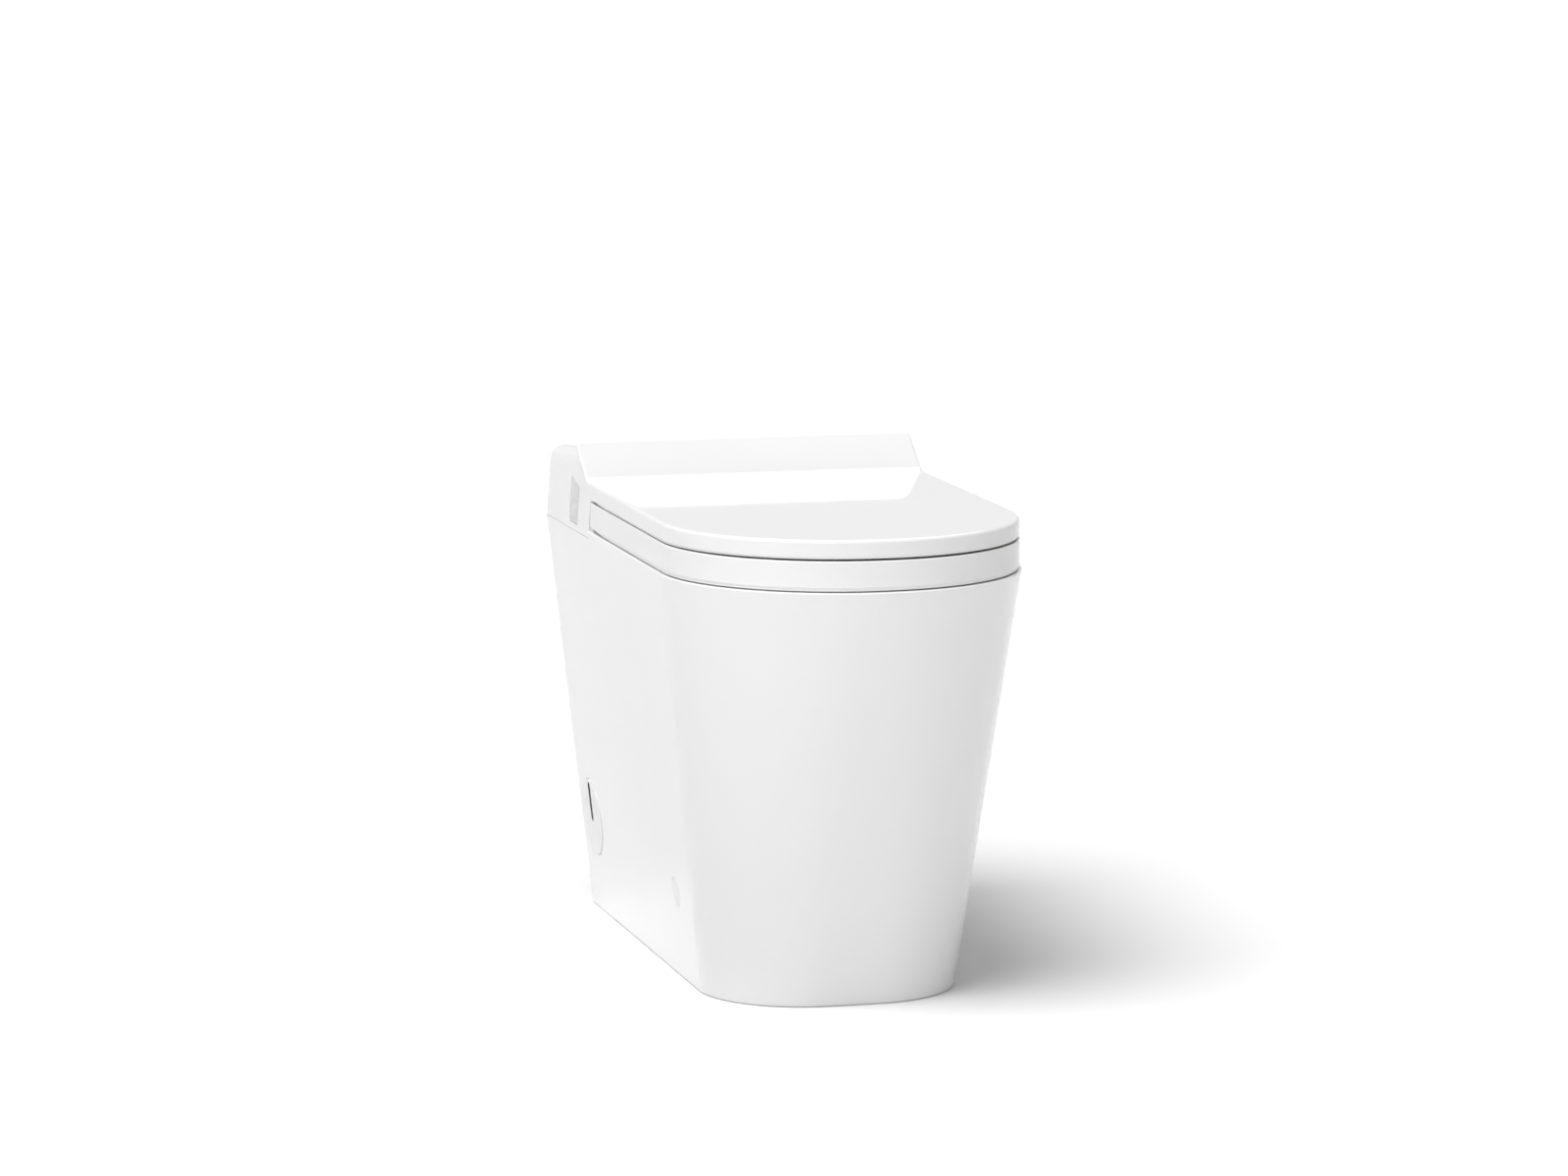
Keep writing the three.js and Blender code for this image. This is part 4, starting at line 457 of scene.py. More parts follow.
def build_groups():
    """The shared effects: slow ripple, tone drift, mould grain and brushing."""
    group, given, made = effect_group(
        "slow_ripple", [("Scale", 9.0), ("Orange Peel", 0.12)], ["Height"])
    broad = noise(group, given["Vector"], given["Scale"], Detail=1.0, Roughness=0.4)
    fine_scale = math_node(group, "MULTIPLY", given["Scale"], 34.0)
    peel = noise(group, given["Vector"], fine_scale, Detail=1.0)
    peel = math_node(group, "MULTIPLY", peel, given["Orange Peel"])
    group.links.new(math_node(group, "ADD", broad, peel), made["Height"])

    group, start, end = shader_group(
        "tone_drift", [("Vector", "NodeSocketVector", None),
                       ("Colour", "NodeSocketColor", (0.8, 0.8, 0.8, 1)),
                       ("Second Colour", "NodeSocketColor", (0.7, 0.7, 0.7, 1)),
                       ("Scale", "NodeSocketFloat", 4.0)], [("Colour", "NodeSocketColor")])
    cloud = noise(group, start.outputs["Vector"], start.outputs["Scale"], Detail=4.0, Roughness=0.55)
    mix = group.nodes.new("ShaderNodeMix")
    mix.data_type = "RGBA"
    group.links.new(spread(group, cloud), mix.inputs[0])
    group.links.new(start.outputs["Colour"], mix.inputs[6])
    group.links.new(start.outputs["Second Colour"], mix.inputs[7])
    group.links.new(mix.outputs[2], end.inputs["Colour"])

    group, given, made = effect_group(
        "mould_grain", [("Scale", 900.0), ("Low", 0.3), ("High", 0.4)], ["Height", "Roughness"])
    cells = node(group, "ShaderNodeTexVoronoi", Vector=given["Vector"], Scale=given["Scale"])
    half_scale = math_node(group, "MULTIPLY", given["Scale"], 0.5)
    speck = noise(group, given["Vector"], half_scale, Detail=3.0)
    height = math_node(group, "ADD", math_node(group, "MULTIPLY", cells.outputs["Distance"], 0.6),
                       math_node(group, "MULTIPLY", speck, 0.4))
    smear = noise(group, given["Vector"], 14.0, Detail=3.0)
    group.links.new(height, made["Height"])
    gloss = spread(group, smear, To_Min=given["Low"], To_Max=given["High"])
    group.links.new(gloss, made["Roughness"])

    group, given, made = effect_group(
        "brushing", [("Scale", 60.0), ("Low", 0.22), ("High", 0.42)], ["Height", "Roughness"])
    stretch = node(group, "ShaderNodeMapping", Vector=given["Vector"], Scale=(30.0, 1.0, 30.0))
    lines = noise(group, stretch.outputs["Vector"], given["Scale"], Detail=5.0, Roughness=0.7)
    group.links.new(lines, made["Height"])
    gloss = spread(group, lines, To_Min=given["Low"], To_Max=given["High"])
    group.links.new(gloss, made["Roughness"])


def placed_group(tree, name, place, **inputs):
    """A shared effect set in a material, with its own values."""
    made = tree.nodes.new("ShaderNodeGroup")
    made.node_tree = bpy.data.node_groups[name]
    tree.links.new(place, made.inputs["Vector"])
    for key, value in inputs.items():
        made.inputs[key.replace("_", " ")].default_value = value
    return made


FINISHES = {}


def finish(name, colour, second, drift, surface, surface_values, bump, distance,
           roughness=None, metallic=0.0, coat=0.0, coat_roughness=0.05, ior=1.5, sheen=0.0):
    """One finish: a drifting tone, a surface effect for gloss and bump, the rest constant."""
    material = bpy.data.materials.new(f"{name}_finish")
    FINISHES[name] = material
    material.use_nodes = True
    tree = material.node_tree
    shader = tree.nodes["Principled BSDF"]
    place = tree.nodes.new("ShaderNodeTexCoord").outputs["Object"]
    tone = placed_group(
        tree, "tone_drift", place, Colour=(*colour, 1), Second_Colour=(*second, 1), Scale=drift)
    tree.links.new(tone.outputs["Colour"], shader.inputs["Base Color"])
    effect = placed_group(tree, surface, place, **surface_values)
    relief = node(
        tree, "ShaderNodeBump", Strength=bump, Distance=distance, Height=effect.outputs["Height"])
    tree.links.new(relief.outputs["Normal"], shader.inputs["Normal"])
    if roughness is None:
        tree.links.new(effect.outputs["Roughness"], shader.inputs["Roughness"])
    else:
        shader.inputs["Roughness"].default_value = roughness
    shader.inputs["Metallic"].default_value = metallic
    shader.inputs["IOR"].default_value = ior
    shader.inputs["Coat Weight"].default_value = coat
    shader.inputs["Coat Roughness"].default_value = coat_roughness
    shader.inputs["Sheen Weight"].default_value = sheen
    material.diffuse_color = (*colour, 1)


def build_finishes(settings):
    """Every finish of the toilet, kept under its name in FINISHES."""
    build_groups()
    white = tuple(settings.glaze_colour)
    plastic = tuple(settings.plastic_colour)
    grey = tuple(settings.grey_colour)
    dark = tuple(settings.dark_colour)

    def darker(colour, share):
        return tuple(c * share for c in colour)

    finish("glaze", white, darker(white, 0.985), 3.0, "slow_ripple",
           {"Scale": 9.0, "Orange Peel": 0.10}, bump=0.25, distance=0.0010, roughness=0.09,
           coat=0.35, coat_roughness=0.03, ior=1.52)
    # Unglazed inside of the ceramic: partly its real bare clay, partly painted shade, darker than the
    # clay so that deep hollows and slots look dark.
    finish("raw_bisque", (0.42, 0.39, 0.35), (0.34, 0.31, 0.28), 30.0, "mould_grain",
           {"Scale": 500.0, "Low": 0.8, "High": 0.95}, bump=0.5, distance=0.0006)
    finish("white_plastic", plastic, darker(plastic, 0.985), 5.0, "slow_ripple",
           {"Scale": 12.0, "Orange Peel": 0.06}, bump=0.1, distance=0.0006, roughness=0.05)
    finish("grey_plastic", grey, darker(grey, 0.95), 30.0, "mould_grain",
           {"Scale": 1400.0, "Low": 0.34, "High": 0.44}, bump=0.12, distance=0.0002)
    finish("dark_plastic", dark, darker(dark, 0.8), 24.0, "mould_grain",
           {"Scale": 1100.0, "Low": 0.5, "High": 0.66}, bump=0.35, distance=0.0003)
    finish("pipe_plastic", (0.58, 0.6, 0.6), (0.53, 0.55, 0.55), 20.0, "mould_grain",
           {"Scale": 800.0, "Low": 0.38, "High": 0.52}, bump=0.25, distance=0.0003)
    finish("bumper_rubber", (0.5, 0.51, 0.51), (0.44, 0.45, 0.45), 60.0, "mould_grain",
           {"Scale": 1500.0, "Low": 0.66, "High": 0.82}, bump=0.3, distance=0.0002, sheen=0.1)
    finish("seal_rubber", (0.025, 0.026, 0.027), (0.04, 0.041, 0.043), 50.0, "mould_grain",
           {"Scale": 900.0, "Low": 0.6, "High": 0.8}, bump=0.4, distance=0.0003)
    finish("steel", (0.52, 0.54, 0.56), (0.46, 0.48, 0.5), 12.0, "brushing",
           {"Scale": 40.0, "Low": 0.2, "High": 0.36}, bump=0.06, distance=0.0002, metallic=1.0)
    finish("brass", (0.62, 0.42, 0.15), (0.52, 0.34, 0.11), 18.0, "brushing",
           {"Scale": 55.0, "Low": 0.22, "High": 0.4}, bump=0.08, distance=0.0002, metallic=1.0)
    finish("heater_film", (0.5, 0.24, 0.08), (0.4, 0.17, 0.05), 40.0, "mould_grain",
           {"Scale": 700.0, "Low": 0.3, "High": 0.45}, bump=0.15, distance=0.0002)


# Repeats

def repeat_tree():
    """Geometry Nodes: one piece set down on every point and made real."""
    tree = bpy.data.node_groups.new("repeat_piece", "GeometryNodeTree")
    for title, kind in (("Points", "NodeSocketGeometry"), ("Piece", "NodeSocketObject"),
                        ("Size", "NodeSocketFloat"), ("Finish", "NodeSocketMaterial")):
        tree.interface.new_socket(name=title, in_out="INPUT", socket_type=kind)
    tree.interface.new_socket(name="Geometry", in_out="OUTPUT", socket_type="NodeSocketGeometry")
    start, end = tree.nodes.new("NodeGroupInput"), tree.nodes.new("NodeGroupOutput")
    info = tree.nodes.new("GeometryNodeObjectInfo")
    info.inputs["As Instance"].default_value = True
    tree.links.new(start.outputs["Piece"], info.inputs["Object"])
    stamp = tree.nodes.new("GeometryNodeInstanceOnPoints")
    tree.links.new(start.outputs["Points"], stamp.inputs["Points"])
    tree.links.new(info.outputs["Geometry"], stamp.inputs["Instance"])
    tree.links.new(start.outputs["Size"], stamp.inputs["Scale"])
    real = tree.nodes.new("GeometryNodeRealizeInstances")
    tree.links.new(stamp.outputs["Instances"], real.inputs["Geometry"])
    dress = tree.nodes.new("GeometryNodeSetMaterial")
    tree.links.new(real.outputs["Geometry"], dress.inputs["Geometry"])
    tree.links.new(start.outputs["Finish"], dress.inputs["Material"])
    tree.links.new(dress.outputs["Geometry"], end.inputs["Geometry"])
    return tree


def repeated(name, master, places, material):
    """The master piece, made at the origin, repeated at each place (in millimetres)."""
    tree = bpy.data.node_groups.get("repeat_piece") or repeat_tree()
    mesh = bpy.data.meshes.new(name)
    mesh.from_pydata((np.asarray(places, float) * MM).tolist(), [], [])
    obj = bpy.data.objects.new(name, mesh)
    bpy.context.scene.collection.objects.link(obj)
    modifier = obj.modifiers.new("repeat", "NODES")
    modifier.node_group = tree
    sockets = {item.name: item.identifier for item in tree.interface.items_tree
               if item.in_out == "INPUT"}
    modifier[sockets["Piece"]] = master
    modifier[sockets["Size"]] = 1.0
    modifier[sockets["Finish"]] = FINISHES[material]
    return applied(obj, [master])


# Placing

def wearing(obj, name):
    """The piece with one finish all over."""
    obj.data.materials.clear()
    obj.data.materials.append(FINISHES[name])
    return obj


def placed(obj, body, slot, *nodes, sharp=32.0):
    """Gives the piece its finish and its body, smooths it, and hides the CAD nodes that it stands
    for.
    """
    if not any(obj.data.materials):
        wearing(obj, slot)
    smooth(obj, sharp)
    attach(obj, body)
    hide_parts(*nodes)
    return obj


# Ceramic body

def body_ring(z, inset=0.0, wall=0.0):
    """The skirt's outline at a height; it grows evenly from the foot to the rim."""
    share = z / RIM_Z
    return plan_outline(**{size: FOOT[size] + GROWTH[size] * share for size in FOOT}, back=BACK,
                        inset=inset + wall, back_corner=5.0 + wall)


def skirt(rim_round):
    """The solid body from foot to rim, before anything is cut."""
    foot_round = 2.5
    foot_steps = round_steps(foot_round, 4)
    rings = [level(body_ring(drop, inset), drop) for inset, drop in reversed(foot_steps)]
    rings += [level(body_ring(z), z) for z in np.linspace(foot_round, RIM_Z - rim_round, 15)[1:-1]]
    rings += [level(body_ring(RIM_Z, inset), RIM_Z - drop) for inset, drop in round_steps(rim_round)]
    return loft("ceramic_body", rings)


BOWL_SIZE = (126, 232, 158)         # half width, reach to the front and to the back, at the rim
BOWL_DEPTH = 298
# Depth, then the share of each of those sizes that is left there
BOWL_SHARES = np.array([
    [0, 1.0, 1.0, 1.0], [0.1, 1.01, 1.01, 1.01], [0.3, 0.94, 0.93, 0.95], [0.53, 0.78, 0.72, 0.83],
    [0.74, 0.55, 0.43, 0.69], [0.9, 0.37, 0.17, 0.6], [1, 0.26, 0.06, 0.5]])


def bowl(name, wall, rise):
    """The bowl's inside, or its outside when it has a wall, with a rolled rim and a rounded floor."""
    sides_end, floor_run = 0.93, 0.07
    floor = sides_end + floor_run * np.sin(np.radians(np.linspace(8, 90, 12)))
    rings = []
    for depth in np.concatenate([np.linspace(0, sides_end, 44), floor]):
        close = 1.0
        if depth > sides_end:
            close = math.sqrt(max(1 - ((depth - sides_end) / floor_run) ** 2, 0.0004))
        close = 0.25 + 0.75 * close
        roll = 0.0 if wall else 6.0 * max(1 - depth / 0.024, 0) ** 2
        sizes = [size * eased(BOWL_SHARES[:, k], BOWL_SHARES[:, 0], depth) * close + wall + roll
                 for k, size in enumerate(BOWL_SIZE, 1)]
        rings.append(level(egg(*sizes), RIM_Z - BOWL_DEPTH * depth - wall * depth))
    top = rings[0].copy()
    top[:, 2] += rise
    rings.insert(0, top)
    return loft(name, rings)


TRAP = [(0, -5, 152), (0, 62.5, 152), (0, 115.1, 243), (0, TRAP_Y, 243), (0, TRAP_Y, 165)]
TRAP_BEND = 38


def side_matrix(sign, y, z):
    """A place on the leaning side wall: X points out of the wall."""
    lean = math.atan2(GROWTH["half"], RIM_Z)
    x = sign * (FOOT["half"] + GROWTH["half"] * z / RIM_Z)
    return shift(x, y, z) @ Matrix.Rotation(sign * lean, 4, "Y") @ Matrix.Diagonal((sign, 1, 1, 1))


def on_side(obj, sign, y, z):
    """A piece made along X, set on the left (-1) or right (1) side wall."""
    moved(obj, side_matrix(sign, y, z))
    recalculated(obj.data)
    return obj


def flared_hole(name, radius, low, flare):
    """A round cutter along X whose mouth at the wall is rounded."""
    mouth = [(radius + flare - flare * math.sin(t), -flare + flare * math.cos(t)) for t in
             np.radians([90, 68, 46, 24, 8])]
    outside = [(radius + flare, 0.3), (radius + flare, 6)]
    return turned(name, [(radius, low)] + mouth + outside, 96, "X")


def rear_arch():
    """The cutter of the round-headed opening in the back wall, with a rounded edge."""
    radius, spring = 70, 180
    sill = [(-radius, -OVERRUN), (radius, -OVERRUN)]
    arch_line = np.concatenate([sill, arc(0, spring, radius, 0, 180, 40)])
    rings = []
    for y, grow in ((BACK - 20, 0), (BACK - 2.5, 0), (BACK - 1.2, 0.4), (BACK - 0.4, 1.1),
                    (BACK, 2.2), (BACK + 5, 2.6)):
        line = arch_line * [1 + grow / radius, 1]
        line[2:, 1] += (line[2:, 1] - spring) * grow / radius
        rings.append(np.stack([line[:, 0], np.full(len(line), y), line[:, 1]], 1))
    return loft("arch", rings)


def ceramic_body(rim_round):
    """The body with its hollow, bowl, trapway, deck well, rear arch and holes for the fittings."""
    body = wearing(skirt(rim_round), "glaze")
    # The hollow, the rear cavity, the bowl's outside and the trapway's wall wear the bisque finish,
    # which is painted shade as well as bare clay.
    hollow = loft("hollow", [level(body_ring(0, wall=WALL), -OVERRUN),
                             level(body_ring(HOLLOW_Z, wall=WALL), HOLLOW_Z)])
    half = FOOT["half"] + GROWTH["half"] * HOLLOW_Z / RIM_Z - WALL
    rear = block("rear", -half, half, 160, BACK - WALL, HOLLOW_Z - OVERRUN, DECK_Z - 14)
    carve(body, wearing(hollow, "raw_bisque"),
          block("step", -180, 180, DECK_Y, BACK + OVERRUN, DECK_Z, RIM_Z + OVERRUN),
          wearing(rear, "raw_bisque"))
    join(body, wearing(bowl("bowl_wall", WALL, -6), "raw_bisque"),
         wearing(pipe("trap_wall", bent_path(TRAP, TRAP_BEND), 33), "raw_bisque"))
    well = prism("well", round_rect(260, 120.6, 18, cy=260.3), 393, DECK_Z + OVERRUN)
    notch = prism("notch", round_rect(90, 60, 8, 6, 0, 420), BOWL_Y, 185, "Y")
    bore = bent_path(TRAP[:-1] + [(0, TRAP_Y, 160)], TRAP_BEND)
    carve(body, bowl("bowl_inside", 0, 6), pipe("trap_bore", bore, 25), notch, well, rear_arch(),
          rod("port", 8.4, BOWL_Y, 160, "Y", (88, 0, RIM_PIPE_Z)))
    cuts = []
    for sign in (-1, 1):
        cuts += [
            on_side(flared_hole("cover_hole", 40.3, -17, 0.5), sign, *COVER_AT),
            on_side(flared_hole("cap_hole", 14.75, -2, 0.25), sign, *CAP_AT),
            on_side(rod("head_hole", 6.4, -5.3, 0, "X"), sign, *CAP_AT),
            on_side(rod("screw_hole", 3.4, -17, 12, "X"), sign, *CAP_AT),
            rod("bolt_hole", 4.4, 393, 417, "Z", (sign * DECK_BOLT[0], DECK_BOLT[1], 0)),
        ]
    carve(body, *cuts)
    return placed(body, "root", "glaze", "ceramic_body", sharp=35)


# Seat

RING = dict(half=175, front=-336.6, corner=170.4, nose=463, back=140.3, back_corner=5.0, backs=48)
PLATE = dict(RING, back=138, back_corner=8.0)
OPENING = (106, 196, 142)           # the ring's opening, as BOWL_SIZE


def opening_line(grow, angles):
    """The edge of the ring's opening, moved outwards."""
    return egg(*(size + grow for size in OPENING), angles)


def ring_rail(inset, z, share=None, grow=None, angles=None):
    """A rail along the ring's outer edge, along its opening, or a share of the way between."""
    outer = None if inset is None else plan_outline(**RING, inset=inset)
    inner = None if grow is None else opening_line(grow, angles)
    if outer is None:
        flat = inner
    elif inner is None:
        flat = outer
    else:
        flat = outer + (inner - outer) * share
    return level(flat, z)


def ring_lip(inset, depth):
    """A rail of the lip below the ring's outer edge; the lip fades out over the wand's way."""
    rail = ring_rail(inset, RING_LOW)
    fade = np.clip((rail[:, 1] - 100) / 22, 0, 1)
    rail[:, 2] -= depth * (1 - fade * fade * (3 - 2 * fade))
    return rail


def seat_ring(top_round):
    """The ring as one closed skin of rails, with a lip below its edge and a recess underneath."""
    base = plan_outline(**RING)
    angles = np.arctan2(base[:, 1] - BOWL_Y, base[:, 0])
    rails = [ring_lip(inset, drop) for inset, drop in (
        (5, 2.9), (4.7, 3.1), (1.8, 3.1), (1.4, 2.95), (1.2, 2.6), (1.2, 0))]
    rails += [ring_rail(inset, RING_LOW + drop) for inset, drop in reversed(round_steps(0.7))]
    rails += [ring_rail(inset, RING_TOP - drop) for inset, drop in round_steps(top_round)]
    rails += [ring_rail(top_round, RING_TOP, share, 10, angles)
              for share in np.linspace(0, 1, 12)[1:-1]]
    opening = [(RING_TOP - 16.5 * (1 - math.cos(turn)), 10 * (1 - math.sin(turn)))
               for turn in np.radians(np.linspace(0, 90, 13))]
    opening += [(RING_LOW + drop, inset) for inset, drop in round_steps(2, 4)]
    opening += [(RING_LOW, 6), (RING_LOW, 9), (RING_LOW + 6, 9)]
    rails += [ring_rail(None, z, grow=grow, angles=angles) for z, grow in opening]
    rails += [ring_rail(9, RING_LOW + 6, share, 9, angles) for share in (0.75, 0.5, 0.25)]
    rails.append(ring_rail(9, RING_LOW + 6))
    ring = loft("seat_ring", rails, wrap=True)
    join(ring, *hinge_arms(*SEAT_ARMS))
    carve(ring, shaft_hole(170))
    return placed(ring, "seat", "white_plastic", "seat_ring")


def shaft_hole(reach):
    """The cutter of the hinge shafts' bore."""
    return rod("shaft_hole", 4.9, -reach, reach, "X", (0, *HINGE))


def hinge_arms(near, start, half):
    """Both hinge arms with their knuckles."""
    lean = math.atan2(HINGE[1] - start[1], HINGE[0] - start[0])
    dy, dz = half * math.sin(lean), half * math.cos(lean)
    bar = [(start[0] + dy, start[1] - dz), (HINGE[0] + dy, HINGE[1] - dz),
           (HINGE[0] - dy, HINGE[1] + dz), (start[0] - dy, start[1] + dz)]
    arms = []
    for sign in (-1, 1):
        x0, x1 = sorted((sign * near, sign * (near + ARM_WIDTH)))
        arms += [prism("arm", bar, x0, x1, "X"),
                 rod("knuckle", 10, x0, x1, "X", (0, *HINGE), edge=0.8)]
    return arms


def seat_plates():
    """The underside cover and the heater film in the ring's recess."""
    play = 9.3

    def outer_rail(inset, z):
        return level(plan_outline(**PLATE, inset=play + inset), z)

    def inner_rail(inset, z):
        return level(opening_line(play + inset, angles), z)

    base = plan_outline(**PLATE, inset=play)
    angles = np.arctan2(base[:, 1] - BOWL_Y, base[:, 0])
    for name, low, high, edge, slot in (("seat_underside", 424.0, 428.0, 0.6, "white_plastic"),
                                        ("seat_heater", 428.3, 429.7, 0.2, "heater_film")):
        steps = round_steps(edge, 3)
        rails = [outer_rail(inset, low + drop) for inset, drop in reversed(steps)]
        rails += [outer_rail(inset, high - drop) for inset, drop in steps]
        rails += [inner_rail(inset, high - drop) for inset, drop in reversed(steps)]
        rails += [inner_rail(inset, low + drop) for inset, drop in steps]
        placed(loft(name, rails, wrap=True), "seat", slot, name)


def seat_bumpers():
    """Four oval pads below the ring."""
    outline = np.concatenate([arc(0, 10, 7, 0, 180, 16), arc(0, -10, 7, 180, 360, 16)])
    edges = [(inset, 420.3 + drop) for inset, drop in reversed(round_steps(1.2, 4))]
    edges += [(inset, 423.7 - drop) for inset, drop in round_steps(0.8, 4)]
    pad = loft("pad", [level(outline * (1 - inset / 17), z) for inset, z in edges])
    places = [(x, y, 0) for x in (-149, 149) for y in (-215, 95)]
    placed(repeated("seat_bumpers", pad, places, "bumper_rubber"), "seat", "bumper_rubber",
           *[f"seat_bumper_{end}_{side}" for end in ("front", "rear") for side in ("left", "right")])


# Lid

LID_LOW_ROUND = 0.9
END_CORNER = 18.0                   # how far the end's corners draw in
END_DEPTH = 14.0                    # over this length
END_THICK = 4.5
END_NOSE = 2.5                      # the part of the end that its rounded edge takes
END_ROUND = 1.8
LID = dict(half=175.3, front=-334.8, corner=171.5, nose=463, back=133)


def quad_curve(a, b, c, count):
    """Points of a curve from a to c that is drawn towards b."""
    t = np.linspace(0, 1, count)[:, None]
    a, b, c = map(np.asarray, (a, b, c))
    return (1 - t) ** 2 * a + 2 * t * (1 - t) * b + t * t * c


def sweep_lines():
    """Matching points along the sweep's underside and top, as (y, z)."""
    slope, start_y = SWEEP_SLOPE, LID["back"]
    under_end = LID_END[1] - END_THICK
    head_run = (under_end - SWEEP_HEAD[1]) / slope
    foot_turn = SWEEP_FOOT[0] - (SWEEP_FOOT[1] - LID_LOW) / slope
    low = [quad_curve((start_y, LID_LOW), (foot_turn, LID_LOW), SWEEP_FOOT, 200),
           quad_curve(SWEEP_FOOT, (171, 477.1), SWEEP_HEAD, 400)[1:],
           quad_curve(SWEEP_HEAD, (SWEEP_HEAD[0] + head_run, under_end),
                      (LID_END[0] - 2, under_end), 200)[1:]]
    top_head = (194.0, 500.5)
    top_foot = (156.0, top_head[1] - (top_head[0] - 156.0) * slope)
    top_turn = top_foot[0] - (top_foot[1] - LID_TOP) / slope
    start = np.linspace((start_y, LID_TOP), (foot_turn, LID_TOP), 60)
    rise = quad_curve((foot_turn, LID_TOP), (top_turn, LID_TOP), top_foot, 141)[1:]
    high = [start, rise, np.linspace(top_foot, top_head, 400)[1:],
            quad_curve(top_head, (top_head[0] + END_THICK / slope, LID_END[1]),
                       (LID_END[0] - END_NOSE, LID_END[1]), 200)[1:]]
    return np.concatenate(low), np.concatenate(high)


def sweep_sections():
    """Pairs of underside and top points, closer together where the sweep bends, and their inset."""
    low, high = sweep_lines()
    last = len(high) - 1
    picks = set(np.linspace(0, 199, 16).astype(int)) | set(np.linspace(199, 598, 14).astype(int))
    for turn in np.radians(np.linspace(0, 88, 26)):
        depth = LID_END[0] - END_NOSE - END_DEPTH * (1 - math.sin(turn))
        picks.add(int(np.argmin(np.abs(high[:, 0] - depth))))
    picks.add(last)
    sections = [(low[i], high[i], 0.0) for i in sorted(picks) if i > 0]
    end_low, end_high = low[last], high[last]
    for turn in np.radians([15, 30, 45, 60, 75, 90]):
        along, inset = END_ROUND * math.sin(turn), END_ROUND * (1 - math.cos(turn))
        sections.append((end_low + (along, inset), end_high + (along, -inset), inset))
    return sections


def section_points(low, high, draw, steps, top_round):
    """One closed section, left side from low to high, then the right side back down."""
    thickness = math.dist(low, high)
    edge = min(top_round, thickness * 0.4)
    under = min(LID_LOW_ROUND, thickness * 0.3)
    past = min(max((high[0] - LID_END[0] + END_NOSE) / END_DEPTH + 1, 0), 1)
    half = LID["half"] - (END_CORNER * (1 - math.sqrt(1 - past ** 2)) + draw)
    side = [(half - inset, *(low + (high - low) * drop / thickness))
            for inset, drop in reversed(round_steps(under, steps))]
    side += [(half - inset, *(low + (high - low) * (1 - drop / thickness)))
             for inset, drop in round_steps(edge, steps)]
    side = np.array(side)
    return np.concatenate([side * [-1, 1, 1], side[::-1]])


def lid_shell(top_round):
    """The slab and its rear sweep as one skin: the slab's back edge is the sweep's first section."""
    steps = 6
    levels = [(inset, LID_LOW + drop) for inset, drop in reversed(round_steps(LID_LOW_ROUND, steps))]
    levels += [(inset, LID_TOP - drop) for inset, drop in round_steps(top_round, steps)]
    rings = [level(plan_outline(**LID, inset=inset, back_inset=0.0, fine=1.5), z)
             for inset, z in levels]
    total, count = len(rings), len(rings[0])
    points = np.concatenate(rings)
    faces = skin_faces(total, count, first=1)
    faces.append(tuple(range(count)))
    faces.append(tuple(range((total - 1) * count, total * count)))
    before = [row * count + 1 for row in range(total)]
    before += [row * count for row in reversed(range(total))]
    for low, high, draw in sweep_sections():
        section = section_points(low, high, draw, steps, top_round)
        here = list(range(len(points), len(points) + len(section)))
        points = np.concatenate([points, section])
        for side in range(len(here)):
            after = (side + 1) % len(here)
            faces.append((before[side], before[after], here[after], here[side]))
        before = here
    faces.append(tuple(before))
    return piece("lid", points, faces)


def lid_lip():
    """The lip below the slab's edge that narrows the gap to the seat; it fades towards the hinge."""
    rails = []
    for inset, drop in ((1.5, -1), (1.5, 0.8), (1.6, 0.93), (2.0, 1), (8.6, 1), (9, 0.9), (9, -1)):
        rail = level(plan_outline(**LID, inset=inset), LID_LOW)
        depth = np.interp(rail[:, 1], [LID["front"], -150, 100, 124], [1.2, 2.1, 2.1, -0.5])
        rail[:, 2] -= drop * depth if drop > 0 else drop
        rails.append(rail)
    return loft("lip", rails, wrap=True)


def lid(top_round):
    """The shell with its lip, its hinge arms and ribs in its cavity."""
    shell = lid_shell(top_round)
    recess = prism("recess", plan_outline(**LID, inset=10), LID_LOW - OVERRUN, LID_LOW + 3.1)
    cavity = prism("cavity", plan_outline(**LID, inset=13), LID_LOW, LID_TOP - 3.5)
    ribs = [block("rib", -180, 180, y, y + 3, LID_LOW - 1, LID_TOP)
            for y in (41, -51, -143, -235, -327)]
    carve(cavity, *ribs, block("rib", -1.5, 1.5, -335, 134, LID_LOW - 1, LID_TOP))
    join(shell, lid_lip(), *hinge_arms(*LID_ARMS))
    carve(shell, recess, cavity, shaft_hole(170))
    placed(shell, "lid", "white_plastic", "lid", sharp=30)


def lid_underside():
    """The panel that closes the lid's cavity."""
    rings = [level(plan_outline(**LID, inset=10.3 + inset, back_inset=10.3 + inset), LID_LOW + drop)
             for inset, drop in reversed(round_steps(0.8, 4))]
    rings.append(level(plan_outline(**LID, inset=10.3, back_inset=10.3), LID_LOW + 2.8))
    panel = loft("lid_underside", rings)
    placed(panel, "lid", "white_plastic", "lid_underside")


def lid_bumpers():
    """Two round pads below the lid."""
    pad = turned("pad", [(0.4, 449.75), (4.5, 449.75), (6.1, 449.95), (6.8, 450.35), (7, 450.9),
                         (7, 451.8), (6.8, 452.1), (0.4, 452.1)])
    pads = repeated("lid_bumpers", pad, [(-141.3, -200, 0), (141.3, -200, 0)], "bumper_rubber")
    placed(pads, "lid", "bumper_rubber", "lid_bumper_left", "lid_bumper_right")


# Rear housing

HOUSING_HALF = 175.4                # half of its width, just below the base plate
HOUSING_LEAN = math.atan2(5.4, CREST_Z - 18 - PLATE_Z + OVERRUN)


